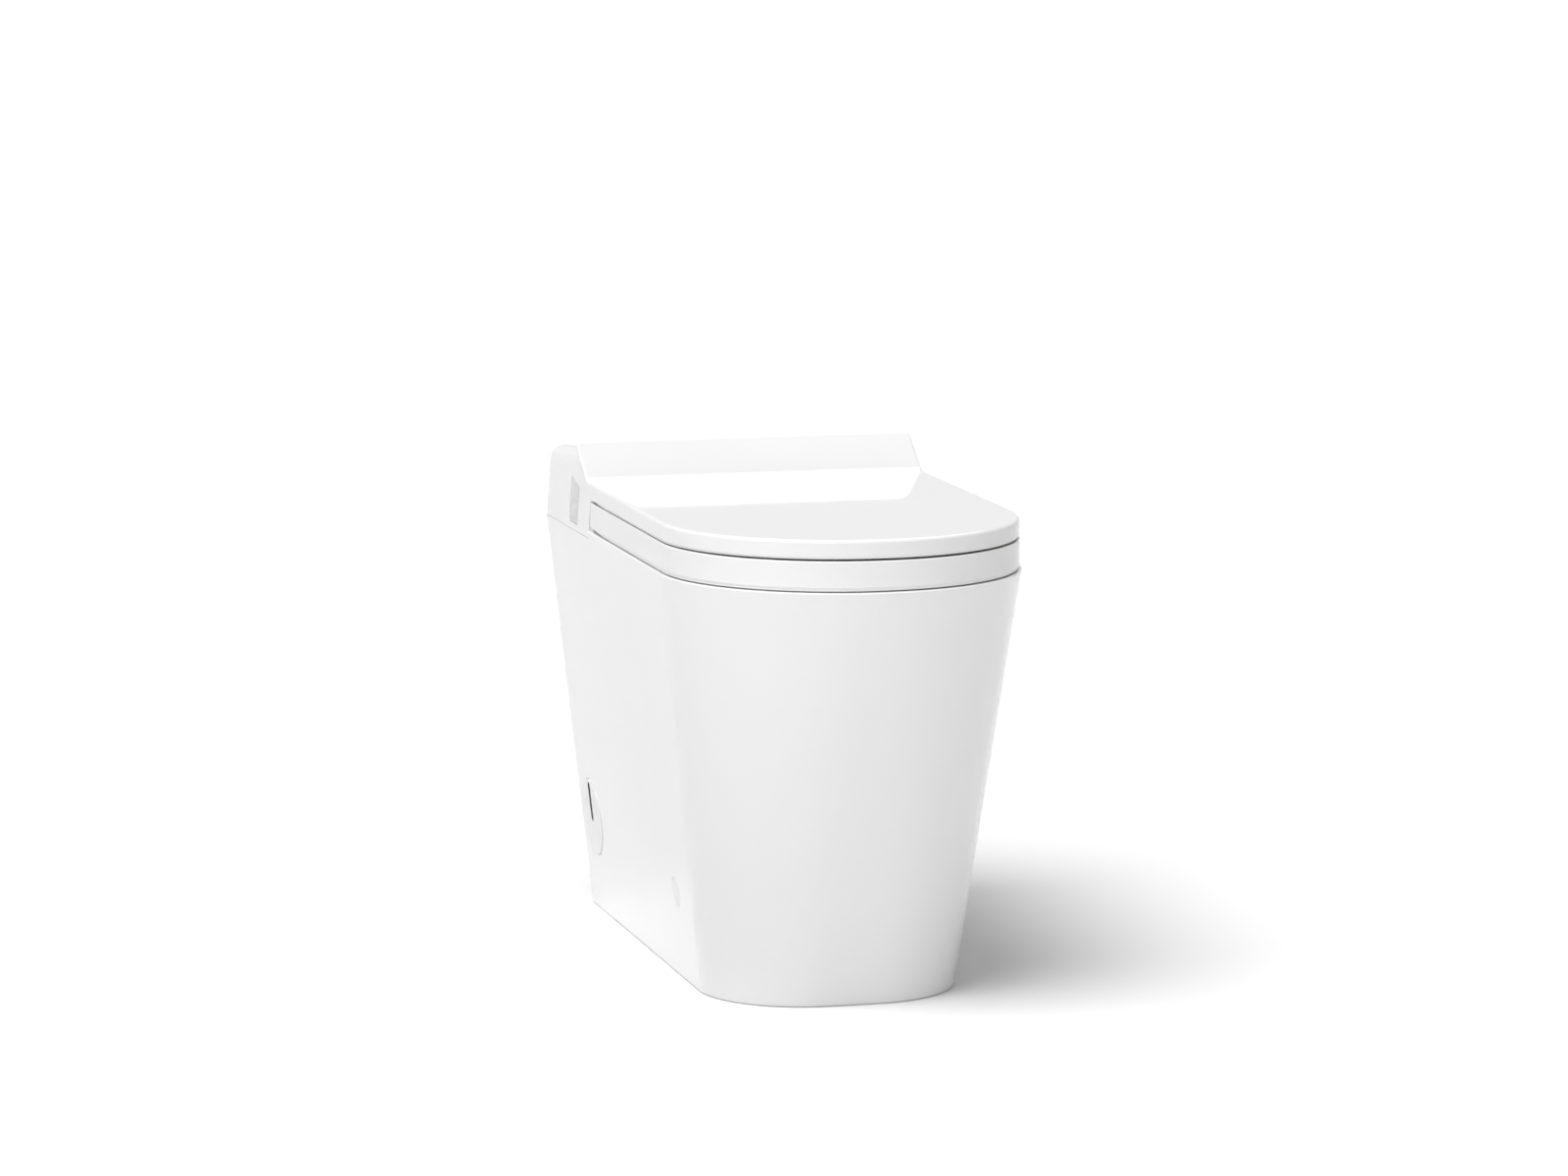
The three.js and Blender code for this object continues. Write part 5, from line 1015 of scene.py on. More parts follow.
def housing_top(y):
    """The housing's height along its depth: slope under the lid, crown, fall to the back."""
    drop = 1.4 * math.hypot(1, SWEEP_SLOPE)
    slope = LID_LOW + 4.3 + (y - 143) * SWEEP_SLOPE - drop
    crest = np.full_like(y, CREST_Z)
    fall = np.interp(y, [208, 214, 222, BACK - 6], [CREST_Z, CREST_Z - 2.6, 493.8, 484.5])
    top = np.minimum(np.minimum(slope, crest), np.where(y > 208, fall, crest))
    reach = 5                       # samples on both sides that soften the corners
    before = np.full(reach, top[0]) - SWEEP_SLOPE * np.arange(reach, 0, -1) * (y[1] - y[0])
    padded = np.concatenate([before, top, np.full(reach, top[-1])])
    kernel = np.ones(2 * reach + 1) / (2 * reach + 1)
    return np.minimum(np.convolve(padded, kernel, "valid"), top)


def round_off(radius, past):
    """What a round takes from a side at a distance past its edge."""
    return radius - math.sqrt(max(radius ** 2 - (radius - past) ** 2, 0)) if past < radius else 0.0


def housing_shell(name, front_round, wall=0.0):
    """Sections across the housing, lofted from its front face to its back face."""
    front, back = HOUSING_Y + wall, BACK - wall
    edge = max(front_round - wall, 2.0)
    rear = max(5.0 - wall, 1.5)
    near = front + edge * (1 - np.cos(np.radians(np.linspace(0, 90, 10))))
    far = back - rear * (1 - np.cos(np.radians(np.linspace(90, 0, 8))))
    middle = np.arange(near[-1], far[0], 2.0)[1:-1]
    ys = np.concatenate([near, middle, far])
    fine = np.arange(front, back + 1e-6, 0.5)
    tops = np.interp(ys, fine, housing_top(fine)) - wall * np.interp(ys, [195, 210], [1.237, 1.0])
    bottom = PLATE_Z - (OVERRUN if wall else 0)
    lean = math.tan(HOUSING_LEAN)
    rings = []
    for y, top in zip(ys, tops):
        low_half = HOUSING_HALF - wall - max(round_off(edge, y - front), round_off(rear, back - y))
        top -= round_off(max(6 - wall, 1.5), back - y)
        corner = max(float(np.interp(y, [168, 203], [2.0, 16.0])) - wall, 1.0)
        heights = np.linspace(bottom, top - corner, 6)
        line = [(low_half - (z - (PLATE_Z - OVERRUN)) * lean, z) for z in heights]
        x_corner, z_corner = line[-1]
        line += [(x_corner - corner + corner * math.cos(t), z_corner + corner * math.sin(t))
                 for t in np.radians(np.linspace(0, 90, 13))[1:]]
        line = np.array(line)
        ring = np.concatenate([line, (line * [-1, 1])[::-1]])
        rings.append(np.stack([ring[:, 0], np.full(len(ring), y), ring[:, 1]], 1))
    return loft(name, rings)


def arm_slots():
    """Clearance for both pairs of hinge arms."""
    cutters = []
    radius = 11.5
    for near, start, half in (SEAT_ARMS, LID_ARMS):
        for sign in (-1, 1):
            x0, x1 = sorted((sign * (near - 1), sign * (near + ARM_WIDTH + 1)))
            lean = (HINGE[1] - start[1]) / (HINGE[0] - start[0])
            below = (half + 1.5) * math.hypot(1, lean)
            line = [(start[0] - 5, start[1] - below - 5 * lean), (HINGE[0], HINGE[1] - below),
                    (HINGE[0] + radius, HINGE[1]), (HINGE[0] + radius, 512), (start[0] - 5, 512)]
            cutters.append(prism("slot", line, x0, x1, "X"))
            cutters.append(rod("slot_round", radius, x0, x1, "X", (0, *HINGE)))
    return cutters


KEY_SIZE = (25.0, 15.0, 2.0)        # width, height and corner
KEY_Y = 19.5                        # middle of both keys, from the strip's front
KEYS = (("flush_button", 30.5, "flush_key"), ("stop_button", 11.5, "stop_key"))
GLAND_AT = (52, 0, 432)


def strip_matrix():
    """The control strip's place on the left wall: X inwards, Y back, Z up along the wall."""
    low = DECK_Z + 7
    x = (low - PLATE_Z + OVERRUN) * math.tan(HOUSING_LEAN) - HOUSING_HALF
    return shift(x, 196, low) @ Matrix.Rotation(HOUSING_LEAN, 4, "Y")


def in_strip(obj):
    """A piece made in the strip's own place, set on the left wall."""
    return moved(obj, strip_matrix())


def strip_outline(inset, near_gap=0.0):
    """The strip along the wall, as (y, z) from its lower front; its top slants down to the front."""
    far, back, front, radius = 39 - inset, 45.5 - inset, 38.5 - inset, max(2.6 - inset, 0.5)
    near = inset + near_gap
    lean = math.degrees(math.atan2(back - front, far - near))
    return np.concatenate([
        arc(far - radius, inset + radius, radius, -90, 0, 6),
        arc(far - radius, back - radius, radius, 0, 90 + lean, 6),
        arc(near + radius, front - radius, radius, 90 + lean, 180, 6),
        arc(near + radius, inset + radius, radius, 180, 270, 6)])


def rear_housing(front_round):
    """The shell with its inner ribs, arm slots, strip recess, wand mouth and shadow gaps."""
    shell = housing_shell("rear_housing", front_round)
    inner = housing_shell("inner", front_round, 3.5)
    ribs = []
    for sign in (-1, 1):
        for near, far in ((79, 83), (105, 111), (133, 137)):
            x0, x1 = sorted((sign * near, sign * far))
            ribs.append(block("rib", x0, x1, 143, 233, UNIT_Z, 505))
    carve(inner, *ribs)
    carve(shell, inner)
    backing = in_strip(prism("backing", strip_outline(-3.5), 1.75, 4.6, "X"))
    carve(backing, block("below", -180, 0, HOUSING_Y, BACK, 398, UNIT_Z))
    join(shell, backing)
    keys = [in_strip(rod("key_hole", 3.4, 0, 10, "X", (0, KEY_Y, z))) for _, z, _ in reversed(KEYS)]
    before = HOUSING_Y - OVERRUN
    gaps = [block("shadow_gap", *sorted((side * 170.6, side * 174.9)), before, HOUSING_Y + 3.4,
                  416, 449) for side in (-1, 1)]
    behind = HOUSING_Y + 8.5
    carve(shell, in_strip(prism("strip", strip_outline(0), -OVERRUN, 2.6, "X")), *arm_slots(), *keys,
          shaft_hole(138),
          prism("mouth", round_rect(48, 38, 3, 5, 0, PLATE_Z), before, behind, "Y"),
          prism("duct_mouth", round_rect(28, 18, 1.5, 4, 46, UNIT_Z + 9), before, behind, "Y"),
          rod("gland_hole", 6, BACK - 8.5, BACK + OVERRUN, "Y", GLAND_AT), *gaps)
    placed(shell, "root", "white_plastic", "rear_housing")


def key_ring(x, grow, z):
    """The outline of a key, or of its window, at a depth and a height."""
    wide, high, radius = (size + step for size, step in zip(KEY_SIZE, (2 * grow, 2 * grow, grow)))
    line = round_rect(wide, high, radius, 6, KEY_Y, z)
    return np.stack([np.full(len(line), x), line[:, 0], line[:, 1]], 1)


def control_strip(key_gap):
    """The panel in its recess and the two keys in the panel."""
    rings = []
    for inset, drop in reversed(round_steps(0.35, 3)):
        line = strip_outline(0.3 + inset, 1.0)
        rings.append(np.stack([np.full(len(line), 0.3 + drop), line[:, 0], line[:, 1]], 1))
    rings.append(rings[-1] + [1.65, 0, 0])
    panel = in_strip(loft("control_panel", rings))
    edge = ((0.0, 0.25), (0.32, 0.22), (0.45, 0.08), (0.6, 0.0), (3.0, 0.0))
    windows = [in_strip(loft("window", [key_ring(x, key_gap + grow, z) for x, grow in edge]))
               for _, z, _ in KEYS]
    carve(panel, *windows)
    placed(panel, "root", "grey_plastic", "control_panel")
    for name, z, body in KEYS:
        stack = [key_ring(drop - 0.1, -inset, z) for inset, drop in reversed(round_steps(0.5, 4))]
        stack.append(key_ring(1.2, 0, z))
        key = join(loft(name, stack), rod("stem", 3, 0.4, 4.6, "X", (0, KEY_Y, z), edge=0.3))
        placed(in_strip(key), body, "grey_plastic", name)


# Fittings on the skirt

def access_covers(rise):
    """Round covers with a finger slot; their inside is painted dark, as shade seen through the slot.
    """
    cover = wearing(rod("access_cover_left", 40, -6, rise, "X", edge=1.3, sides=128), "white_plastic")
    # Painted shade: the cover's hollow wears the dark plastic finish so that the slot looks black.
    hollow = wearing(rod("hollow", 37, -12, 0.4, "X", sides=96), "dark_plastic")
    radius, length = 4.5, 32.5
    slot_line = np.concatenate([arc(0, 0, radius, 180, 360, 16), arc(0, length, radius, 0, 180, 16)])
    way = np.where(slot_line[:, 1:] > length / 2, slot_line - [0, length], slot_line) / radius
    rings = []
    for x, grow in ((-12, 0), (rise - 0.3, 0), (rise - 0.1, 0.06), (rise, 0.15), (4, 0.2)):
        line = slot_line + way * grow
        rings.append(np.stack([np.full(len(line), float(x)), line[:, 0], line[:, 1]], 1))
    carve(cover, hollow, loft("slot", rings))
    on_side(cover, -1, *COVER_AT)
    placed(mirrored(cover, "access_cover_right"), "root", "white_plastic", "access_cover_right")
    placed(cover, "root", "white_plastic", "access_cover_left")


def bolt_caps():
    """Flat caps over the side screws."""
    line = [(0.3, -1.7), (14.4, -1.7), (14.6, -1.5), (14.6, -0.4), (14.55, -0.2), (14.4, -0.06),
            (14.1, 0.0), (7, 0.0), (0.3, 0.0)]
    cap = turned("bolt_cap_left", line, 96, "X")
    on_side(cap, -1, *CAP_AT)
    placed(mirrored(cap, "bolt_cap_right"), "root", "white_plastic", "bolt_cap_right")
    placed(cap, "root", "white_plastic", "bolt_cap_left")


# Works inside

def band(low, high, edge, *seams, deep=0.6, wide=0.8):
    """Pairs of inset and place along a case or a barrel: rounded ends and a groove at each seam."""
    line = [(inset, low + drop) for inset, drop in reversed(round_steps(edge, 3))]
    for at in seams:
        line += [(0, at - wide / 2), (deep, at - wide / 3), (deep, at + wide / 3), (0, at + wide / 2)]
    return line + [(inset, high - drop) for inset, drop in round_steps(edge, 3)]


def case(name, x0, x1, y0, y1, corner, line):
    """An upright case with round corners, by its band of insets and heights."""
    wide, deep, centre = x1 - x0, y1 - y0, ((x0 + x1) / 2, (y0 + y1) / 2)
    return loft(name, [
        level(round_rect(wide - 2 * inset, deep - 2 * inset, max(corner - inset, 0.3), 5, *centre), z)
        for inset, z in line])


def barrel(name, radius, line, axis="Z", at=(0, 0, 0), sides=48):
    """A round piece by its band of insets and places along the axis."""
    return turned(name, [(radius - inset, along) for inset, along in line], sides, axis, at)


def sleeve(name, outer, inner, low, high, edge, at):
    """An upright ring with rounded ends, open through its middle."""
    outside = [(outer - inset, along) for inset, along in band(low, high, edge)]
    inside = [(inner, high - 0.3), (inner, low + 0.3)]
    return turned(name, outside + inside, 72, at=at, wrap=True)


def threaded(name, radius, low, high, pitch, deep, axis="Z", at=(0, 0, 0), sides=36):
    """A bar with a helical thread."""
    angles = np.linspace(0, 2 * math.pi, sides, endpoint=False)
    rings = []
    for along in np.linspace(low, high, int((high - low) / pitch * 6) + 1):
        wave = np.abs((along / pitch - angles / (2 * math.pi)) % 1 * 2 - 1)
        fade = min(1, (along - low) / pitch + 0.3, (high - along) / pitch + 0.3)
        rings.append(circle(radius - deep * (wave * fade + 1 - fade), along, angles, axis, at))
    return loft(name, rings)


def hexed(name, radius, low, high, at, axis="Z", quarter=False):
    """A hexagon nut or head with its corners turned off."""
    body = barrel(name, radius, [(0, low), (0, high)], axis, at, 6)
    if quarter:
        centre = shift(*at)
        moved(body, centre @ turn_by(30, axis) @ centre.inverted())
    bevelled = barrel("turning", radius, band(low, high, 0.9), axis, at, 48)
    return boolean(body, [bevelled], "INTERSECT")


def cross_recess(x, size, deep, axis="X"):
    """The crossed slots of a screw head whose top lies at x."""
    blades = []
    for wide, tall in ((size, 0.45), (0.45, size)):
        outline = [(-wide, -tall), (wide, -tall), (wide, tall), (-wide, tall)]
        blades.append(prism("blade", outline, x - deep, x + 1, axis))
    return blades


def screw_heads(places, radius, rise):
    """Small pan-head steel screws with crossed slots, set on every place."""
    head = barrel("head", radius, [(0, -0.6), (0.15, 0.2), (0.6, 0.8), (1.4, rise)], sides=24)
    carve(head, *cross_recess(rise, radius * 0.6, 0.7, "Z"))
    return repeated("screws", head, places, "steel")


def softened(name, edge):
    """A copy of a CAD piece with its triangles merged into faces and its corners rounded."""
    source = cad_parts[name]
    mesh = source.data.copy()
    mesh.transform(source.matrix_world)
    mesh.materials.clear()
    obj = bpy.data.objects.new(name, mesh)
    bpy.context.scene.collection.objects.link(obj)
    return rounded(tidy_flats(obj), edge)


def drain():
    """The socketed elbow with its floor flange, the gasket and the floor seal."""
    out_y = FLANGE_AT[1]

    def run(top, low):
        return bent_path([(0, TRAP_Y, top), (0, TRAP_Y, 80), (0, out_y, 80), (0, out_y, low)], 42, 16)

    elbow = pipe("drain_elbow", run(157.7, 8.3), 29, 56)
    flange = barrel("flange", 60, band(8.3, 14.3, 1.2), at=FLANGE_AT, sides=96)
    socket = barrel("socket", 41, band(157.7, 182, 1.2, 162, 166), at=SOCKET_AT, sides=96)
    collar = barrel("collar", 33, [(0, 13), (0, 19), (4, 26)], at=FLANGE_AT, sides=72)
    web_line = [(28, 12), (56, 12), (56, 15), (34, 34), (28, 34)]
    webs = [moved(prism("web", web_line, -1.6, 1.6, "X"), shift(*FLANGE_AT) @ turn_by(turn))
            for turn in (45, 135, 225, 315)]
    join(elbow, flange, socket, collar, *webs)
    slots = [barrel("slot", 3.4, [(0, 5), (0, 20)],
                    at=(49 * math.cos(t), out_y + 49 * math.sin(t), 0), sides=24)
             for t in np.radians([0, 90, 180, 270])]
    carve(elbow, barrel("seat", 37, [(0, 164.7), (0, 187)], at=SOCKET_AT, sides=96),
          pipe("bore", run(169.7, 3.3), 25, 56), *slots)
    placed(elbow, "root", "pipe_plastic", "drain_elbow")
    lips = [(33.3, 171.3), (33.6, 171), (36.4, 171), (36.7, 171.4)]
    for groove in (173.6, 176.6, 179.6):
        lips += [(36.7, groove - 0.6), (36.1, groove), (36.7, groove + 0.6)]
    lips += [(36.7, 181.6), (36.3, 182), (33.7, 182), (33.3, 181.6)]
    gasket = turned("drain_gasket", lips, 96, at=SOCKET_AT, wrap=True)
    placed(gasket, "root", "seal_rubber", "drain_gasket")
    ridges = [(34, 0.6), (34.6, 0), (59.4, 0), (60, 0.6), (60, 7.2), (59.2, 8)]
    ridges += [(radius, 8 - drop) for start in (55, 49, 43, 37) for radius, drop in
               ((start + 1.2, 0), (start + 0.6, 0.8), (start - 0.6, 0.8), (start - 1.2, 0))]
    ridges += [(34.6, 8), (34, 7.4)]
    seal = turned("floor_seal", ridges, 96, at=FLANGE_AT, wrap=True)
    placed(seal, "root", "seal_rubber", "floor_seal")


def side_fixings():
    """Bracket and screw behind each bolt cap."""
    for sign, side in ((-1, "left"), (1, "right")):
        head = [(0, -5), (0.1, -3.6), (0.8, -2.6), (2.4, -2)]
        screw = join(threaded("thread", 3, -34, -7, 1.8, 0.5, "X"),
                     rod("shank", 2.9, -8, -4, "X"), barrel(f"side_screw_{side}", 6, head, "X"))
        carve(screw, *cross_recess(-2, 2.6, 1.6))
        screw.name = f"side_screw_{side}"
        placed(on_side(screw, sign, *CAP_AT), "root", "steel", f"side_screw_{side}")
        placed(softened(f"floor_bracket_{side}", 0.8), "root", "steel", f"floor_bracket_{side}")


def deck_fixings():
    """The bolts and nuts that hold the unit on the deck, and the hinge shafts with their dampers."""
    for sign, side in ((-1, "left"), (1, "right")):
        at = (sign * DECK_BOLT[0], DECK_BOLT[1], 0)
        bolt = join(hexed(f"deck_bolt_{side}", 7, 416.6, 421.6, at, quarter=True),
                    threaded("thread", 4, 382.6, 408, 1.25, 0.35, at=at),
                    rod("shank", 3.9, 407, 418, at=at))
        placed(bolt, "root", "steel", f"deck_bolt_{side}")
        bore = [(5, 388), (5, 390.8), (4.4, 391.6), (4.4, 396.8), (5, 397.6), (5, 400)]
        nut = carve(hexed(f"deck_nut_{side}", 7, 390.7, 397.7, at, quarter=True),
                    turned("bore", bore, 48, at=at))
        placed(nut, "root", "steel", f"deck_nut_{side}")
        near, far = sorted((sign * 79, sign * 137))
        shaft = barrel(f"hinge_shaft_{side}", 4.5, band(near, far, 0.6, near + 3, far - 3),
                       "X", (0, *HINGE))
        placed(shaft, "root", "steel", f"hinge_shaft_{side}")
    for sign, name in ((-1, "lid_damper"), (1, "seat_damper")):
        near, far = sorted((sign * 32.7, sign * 78.7))
        seams = [near + 6 + 2.4 * i for i in range(4)] + [far - 8]
        damper = barrel(name, 8, band(near, far, 1.0, *seams, deep=0.7), "X", (0, 213, 484))
        placed(damper, "root", "dark_plastic", name)


def wand_matrix():
    """The wand's place: Y back along its way, from the face of the shield."""
    return shift(0, 142, 415.5) @ Matrix.Rotation(WAND_TILT, 4, "X")


def wand():
    """Tube, nozzle and shield slide in a guide that its motor drives."""
    rings = [[(x, y, z) for x, z in round_rect(40 - 2 * inset, 18 - 2 * inset, 6 - inset, 8)]
             for y, inset in ((0, 0.9), (0.25, 0.35), (0.8, 0), (1.9, 0), (2.4, 0.3))]
    shield = loft("wand_shield", rings)
    placed(moved(shield, wand_matrix()), "wand", "white_plastic", "wand_shield")
    start = 2.7
    line = band(start, start + 30, 1.6, start + 24, start + 27, deep=0.5)
    nozzle = barrel("spray_nozzle", 6.4, line, "Y")
    pad = prism("pad", round_rect(7, 20, 3, 6, 0, start + 11), 5.7, 9)
    jets = [rod("jet", 0.6, 2, 9, at=(x, start + y, 0), sides=16)
            for x, y in ((0, 5), (-1.6, 8), (1.6, 8), (0, 11), (-1.6, 14), (1.6, 14), (0, 17))]
    carve(nozzle, pad, *jets)
    placed(moved(nozzle, wand_matrix()), "wand", "steel", "spray_nozzle")
    tube = barrel("wand_tube", 6.4, band(33, 172, 0.8, *range(48, 149, 20), deep=0.3), "Y")
    wearing(tube, "steel")
    carriage = prism("carriage", round_rect(18.2, 16.2, 2, 4), 170.9, 180.9, "Y")
    rack = repeated("rack", block("tooth", -3, 3, -0.7, 0.7, -8, -5.5),
                    [(0, y, 0) for y in np.arange(46, 168, 2.8)], "steel")
    join(tube, carriage)
    carve(tube, rack)
    placed(moved(tube, wand_matrix()), "wand", "steel", "wand_tube")
    placed(softened("wand_guide", 0.5), "root", "grey_plastic", "wand_guide")
    at = (0, 61, 6)
    motor = join(barrel("wand_motor", 12, band(12.3, 27.3, 1.2, 20.5, 25), "X", at),
                 case("gear_box", 12.3, 19.8, 49, 86.5, 1.5, band(0, 12, 0.6)))
    carve(motor, rod("socket", 3.5, 25.6, 30, "X", at))
    join(motor, rod("pin", 1.4, 24, 27.2, "X", at, edge=0.3))
    placed(moved(motor, wand_matrix()), "root", "dark_plastic", "wand_motor")


def water_heater():
    """The ribbed tank with two hose barbs in front."""
    line = band(UNIT_Z, 460.6, 1.8, 424, 448, deep=0.9, wide=1.2)
    tank = wearing(case("water_heater", -157, -87, 247.1, 325.1, 5, line), "pipe_plastic")
    grooves = repeated("grooves", prism("groove", round_rect(3, 62, 1.5, 4), -1, 1),
                       [(x, 286, 461.2) for x in np.arange(-149, -94, 6.5)], "pipe_plastic")
    carve(tank, grooves)
    barbs = [(3.4, 235.1), (4.2, 236), (5, 239), (4.2, 239.3), (5, 242.3), (4.2, 242.6),
             (4.2, 245.5), (5, 246), (5, 250)]
    for x in (-139.5, -104.5):
        join(tank, turned("port", barbs, 32, "Y", (x, 0, 438.6)))
        carve(tank, rod("port_bore", 2.4, 230, 244, "Y", (x, 0, 438.6), sides=24))
    placed(tank, "root", "pipe_plastic", "water_heater")


def control_box():
    """The finned box with its plugs, pins and lid screws."""
    lid_line = band(UNIT_Z, 440.6, 1.2, 435, deep=0.7, wide=0.9)
    box = wearing(case("control_box", -78, -26, 245.1, 325.1, 4, lid_line), "dark_plastic")
    fins = repeated("fins", prism("fin", round_rect(36, 2, 0.9, 4), -1.4, 1.4),
                    [(-52, y, 441) for y in np.arange(262, 310, 4)], "dark_plastic")
    carve(box, fins)
    plugs = (-68, -52, -36)
    carve(box, *[case("socket", x - 5.5, x + 5.5, 243, 249, 0.8, [(0, 421), (0, 428)])
                 for x in plugs])
    pins = repeated("pins", rod("pin", 0.5, 246, 251, "Y", sides=12),
                    [(x + step, 0, 424.5) for x in plugs for step in (-3.6, -1.2, 1.2, 3.6)], "brass")
    join(box, pins)
    corners = [(x, y) for x in (-72, -32) for y in (251.5, 318.5)]
    carve(box, *[rod("well", 3.2, 439.2, 445, at=(*corner, 0)) for corner in corners])
    join(box, screw_heads([(*corner, 439.3) for corner in corners], 2.3, 1.0))
    placed(box, "root", "dark_plastic", "control_box")


def dryer():
    """The fan with its grille, and the duct that leads its air to the bowl."""
    at = (116, 291.1, 0)
    fan = barrel("dryer_fan", 34, band(UNIT_Z, 450.6, 2.4, 434, deep=0.6, wide=1.0), at=at, sides=96)
    wearing(fan, "dark_plastic")
    join(fan, case("spout", 82, 116, 257.1, 291.1, 0.8, band(UNIT_Z, 434.5, 0.6)))
    mouth = [(0, 445.6), (0, 448.5), (-0.5, 449.9), (-1.4, 450.7), (-1.4, 455)]
    carve(fan, barrel("inlet", 16, mouth, at=at, sides=72),
          block("outlet", 80, 96, 259.1, 287.1, 418.6, 432.3))
    hub = barrel("hub", 5, band(444.5, 449.6, 0.8), at=at, sides=40)
    hoop = sleeve("hoop", 11.2, 9.8, 446.6, 449.2, 0.4, at=at)
    spokes = [moved(block("spoke", -16.6, 16.6, -0.8, 0.8, 447, 449), shift(*at) @ turn_by(turn))
              for turn in (0, 60, 120)]
    join(fan, hub, hoop, *spokes)
    turns = np.radians([20, 110, 160, 250, 340])
    places = [(at[0] + 27 * math.cos(t), at[1] + 27 * math.sin(t), 449.2) for t in turns]
    join(fan, screw_heads(places, 2.3, 1.1))
    placed(fan, "root", "dark_plastic", "dryer_fan")
    placed(softened("dryer_duct", 0.7), "root", "pipe_plastic", "dryer_duct")


def deodoriser():
    """The filter's case with air slots and a grip."""
    line = band(UNIT_Z, 438.6, 1.2, 422, deep=0.5)
    body = wearing(case("deodoriser_filter", -63, -29, 156, 196, 4, line), "grey_plastic")
    slots = [prism("slot", round_rect(3, 31, 1.45, 5, -46 + step, 176), 434.6, 444)
             for step in (-10.2, -3.4, 3.4, 10.2)]
    carve(body, *[wearing(slot, "dark_plastic") for slot in slots])
    carve(body, prism("grip", round_rect(14, 8, 2, 4, -46, 429), 154, 157.6, "Y"))
    placed(body, "root", "grey_plastic", "deodoriser_filter")


def gland():
    """The fluted gland of the power cord."""
    line = [(9, 323.5), (9, 326.4), (8.2, 326.9), (8.2, 327.6), (9, 328.1), (9, 336.2), (8.6, 336.7),
            (5.7, 336.8), (5.7, 339.8), (5.0, 340.6), (4.2, 340.6), (4, 340.2), (4, 323.9),
            (4.4, 323.2), (8.6, 323.2)]
    body = turned("power_gland", line, 72, "Y", GLAND_AT, wrap=True)
    flutes = [rod("flute", 0.8, 328.6, 335.6, "Y",
                  (GLAND_AT[0] + 9.3 * math.cos(t), 0, GLAND_AT[2] + 9.3 * math.sin(t)), sides=12)
              for t in np.linspace(0, 2 * math.pi, 20, endpoint=False)]
    carve(body, *flutes)
    placed(body, "root", "dark_plastic", "power_gland")


def flush_works():
    """The pump in its cradle, the pipe to the rim and the inlet valve."""
    placed(softened("pump_cradle", 0.9), "root", "steel", "pump_cradle")
    at, spout_at = (88, 0, 236.3), (88, 241.3, 0)
    line = band(219.6, 263.3, 2.0, 228, 254, deep=1.0, wide=1.4)
    pump = barrel("flush_pump", 28, line, "Y", at, 96)
    wearing(pump, "dark_plastic")
    motor = barrel("motor", 21, band(241.3, 309.3, 2.0, *range(270, 303, 4), deep=1.2, wide=2.2),
                   "Y", at, 72)
    barbs = [(9, 236.3), (9, 274), (8.2, 275), (8.2, 278), (9, 278.2), (8.2, 281.4), (9, 281.6),
             (8.2, 285), (9, 285.2), (8, 288), (7.4, 288.3)]
    spout = turned("spout", barbs, 48, at=spout_at)
    join(pump, motor, spout)
    carve(pump, rod("spout_bore", 5.6, 268, 294, at=spout_at))
    turns = np.radians(np.arange(0, 360, 60) + 90)
    bosses = repeated("bosses", barrel("boss", 3, [(0, -3.4), (0.3, 4.4), (0.8, 5)], "Y", sides=24),
                      [(at[0] + 24.4 * math.cos(t), 258.9, at[2] + 24.4 * math.sin(t))
                       for t in turns if abs(math.cos(t)) > 0.1], "dark_plastic")
    join(pump, bosses)
    placed(pump, "root", "dark_plastic", "flush_pump")

    def run(low, front):
        return bent_path([(88, 241.3, low), (88, 241.3, RIM_PIPE_Z), (88, front, RIM_PIPE_Z)], 24, 14)

    tube = pipe("rim_pipe", run(288.6, 50.6), 8, 48)
    carve(tube, pipe("inner", run(284, 46), 6.4, 48))
    placed(tube, "root", "pipe_plastic", "rim_pipe")
    stem = (-90, 313.3, 0)
    line = band(130, 168, 1.4, 140, 158, deep=0.8, wide=1.2)
    valve = barrel("inlet_valve", 14.6, line, at=stem, sides=72)
    join(valve, threaded("thread", 12.5, 166, 178, 1.8, 0.8, at=stem, sides=60),
         barrel("cap", 15, band(177, 182, 1.0), at=stem), hexed("bonnet", 15, 158.5, 166.5, stem))
    stub = (0, 313.3, 140)
    join(valve, case("wall_plate", -105, -75, 325.3, 328.3, 0.6, [(0, 115), (0, 197)]),
         block("bridge", -97, -83, 313.3, 326, 150, 164),
         hexed("nut", 10, -76, -68, stub, "X"),
         threaded("stub", 9.4, -70, -49, 1.8, 0.8, "X", stub, 48))
    plate_holes = [rod("plate_hole", 2.4, 320, 332, "Y", (x, 0, z), sides=24)
                   for x in (-99, -81) for z in (121, 191)]
    carve(valve, rod("stub_bore", 5.5, -72, -45, "X", stub), *plate_holes)
    placed(valve, "root", "brass", "inlet_valve")


def base_plate():
    """The plate of the seat unit."""
    placed(softened("base_plate", 0.5), "root", "dark_plastic", "base_plate")


# Stage

def camera(settings):
    """The camera at the photograph's angle."""
    data = bpy.data.cameras.new("camera")
    data.sensor_width = 36.0
    data.lens = settings.lens
    data.clip_end = 60.0
    obj = bpy.data.objects.new("camera", data)
    obj.location = settings.camera_place
    obj.rotation_euler = (math.radians(90) - settings.camera_pitch, 0, -settings.camera_yaw)
    bpy.context.scene.collection.objects.link(obj)
    bpy.context.scene.camera = obj


def lamp(name, side, height, power, spread):
    """A broad soft light from far away, by its angle to the side of the front and its height."""
    data = bpy.data.lights.new(name, "SUN")
    data.energy = power
    data.angle = math.radians(spread)
    obj = bpy.data.objects.new(name, data)
    obj.rotation_euler = (math.radians(90 - height), 0, math.radians(side))
    bpy.context.scene.collection.objects.link(obj)


STRIP_SIZE = (1.0, 0.16)            # metres
STRIP_Z = 0.4


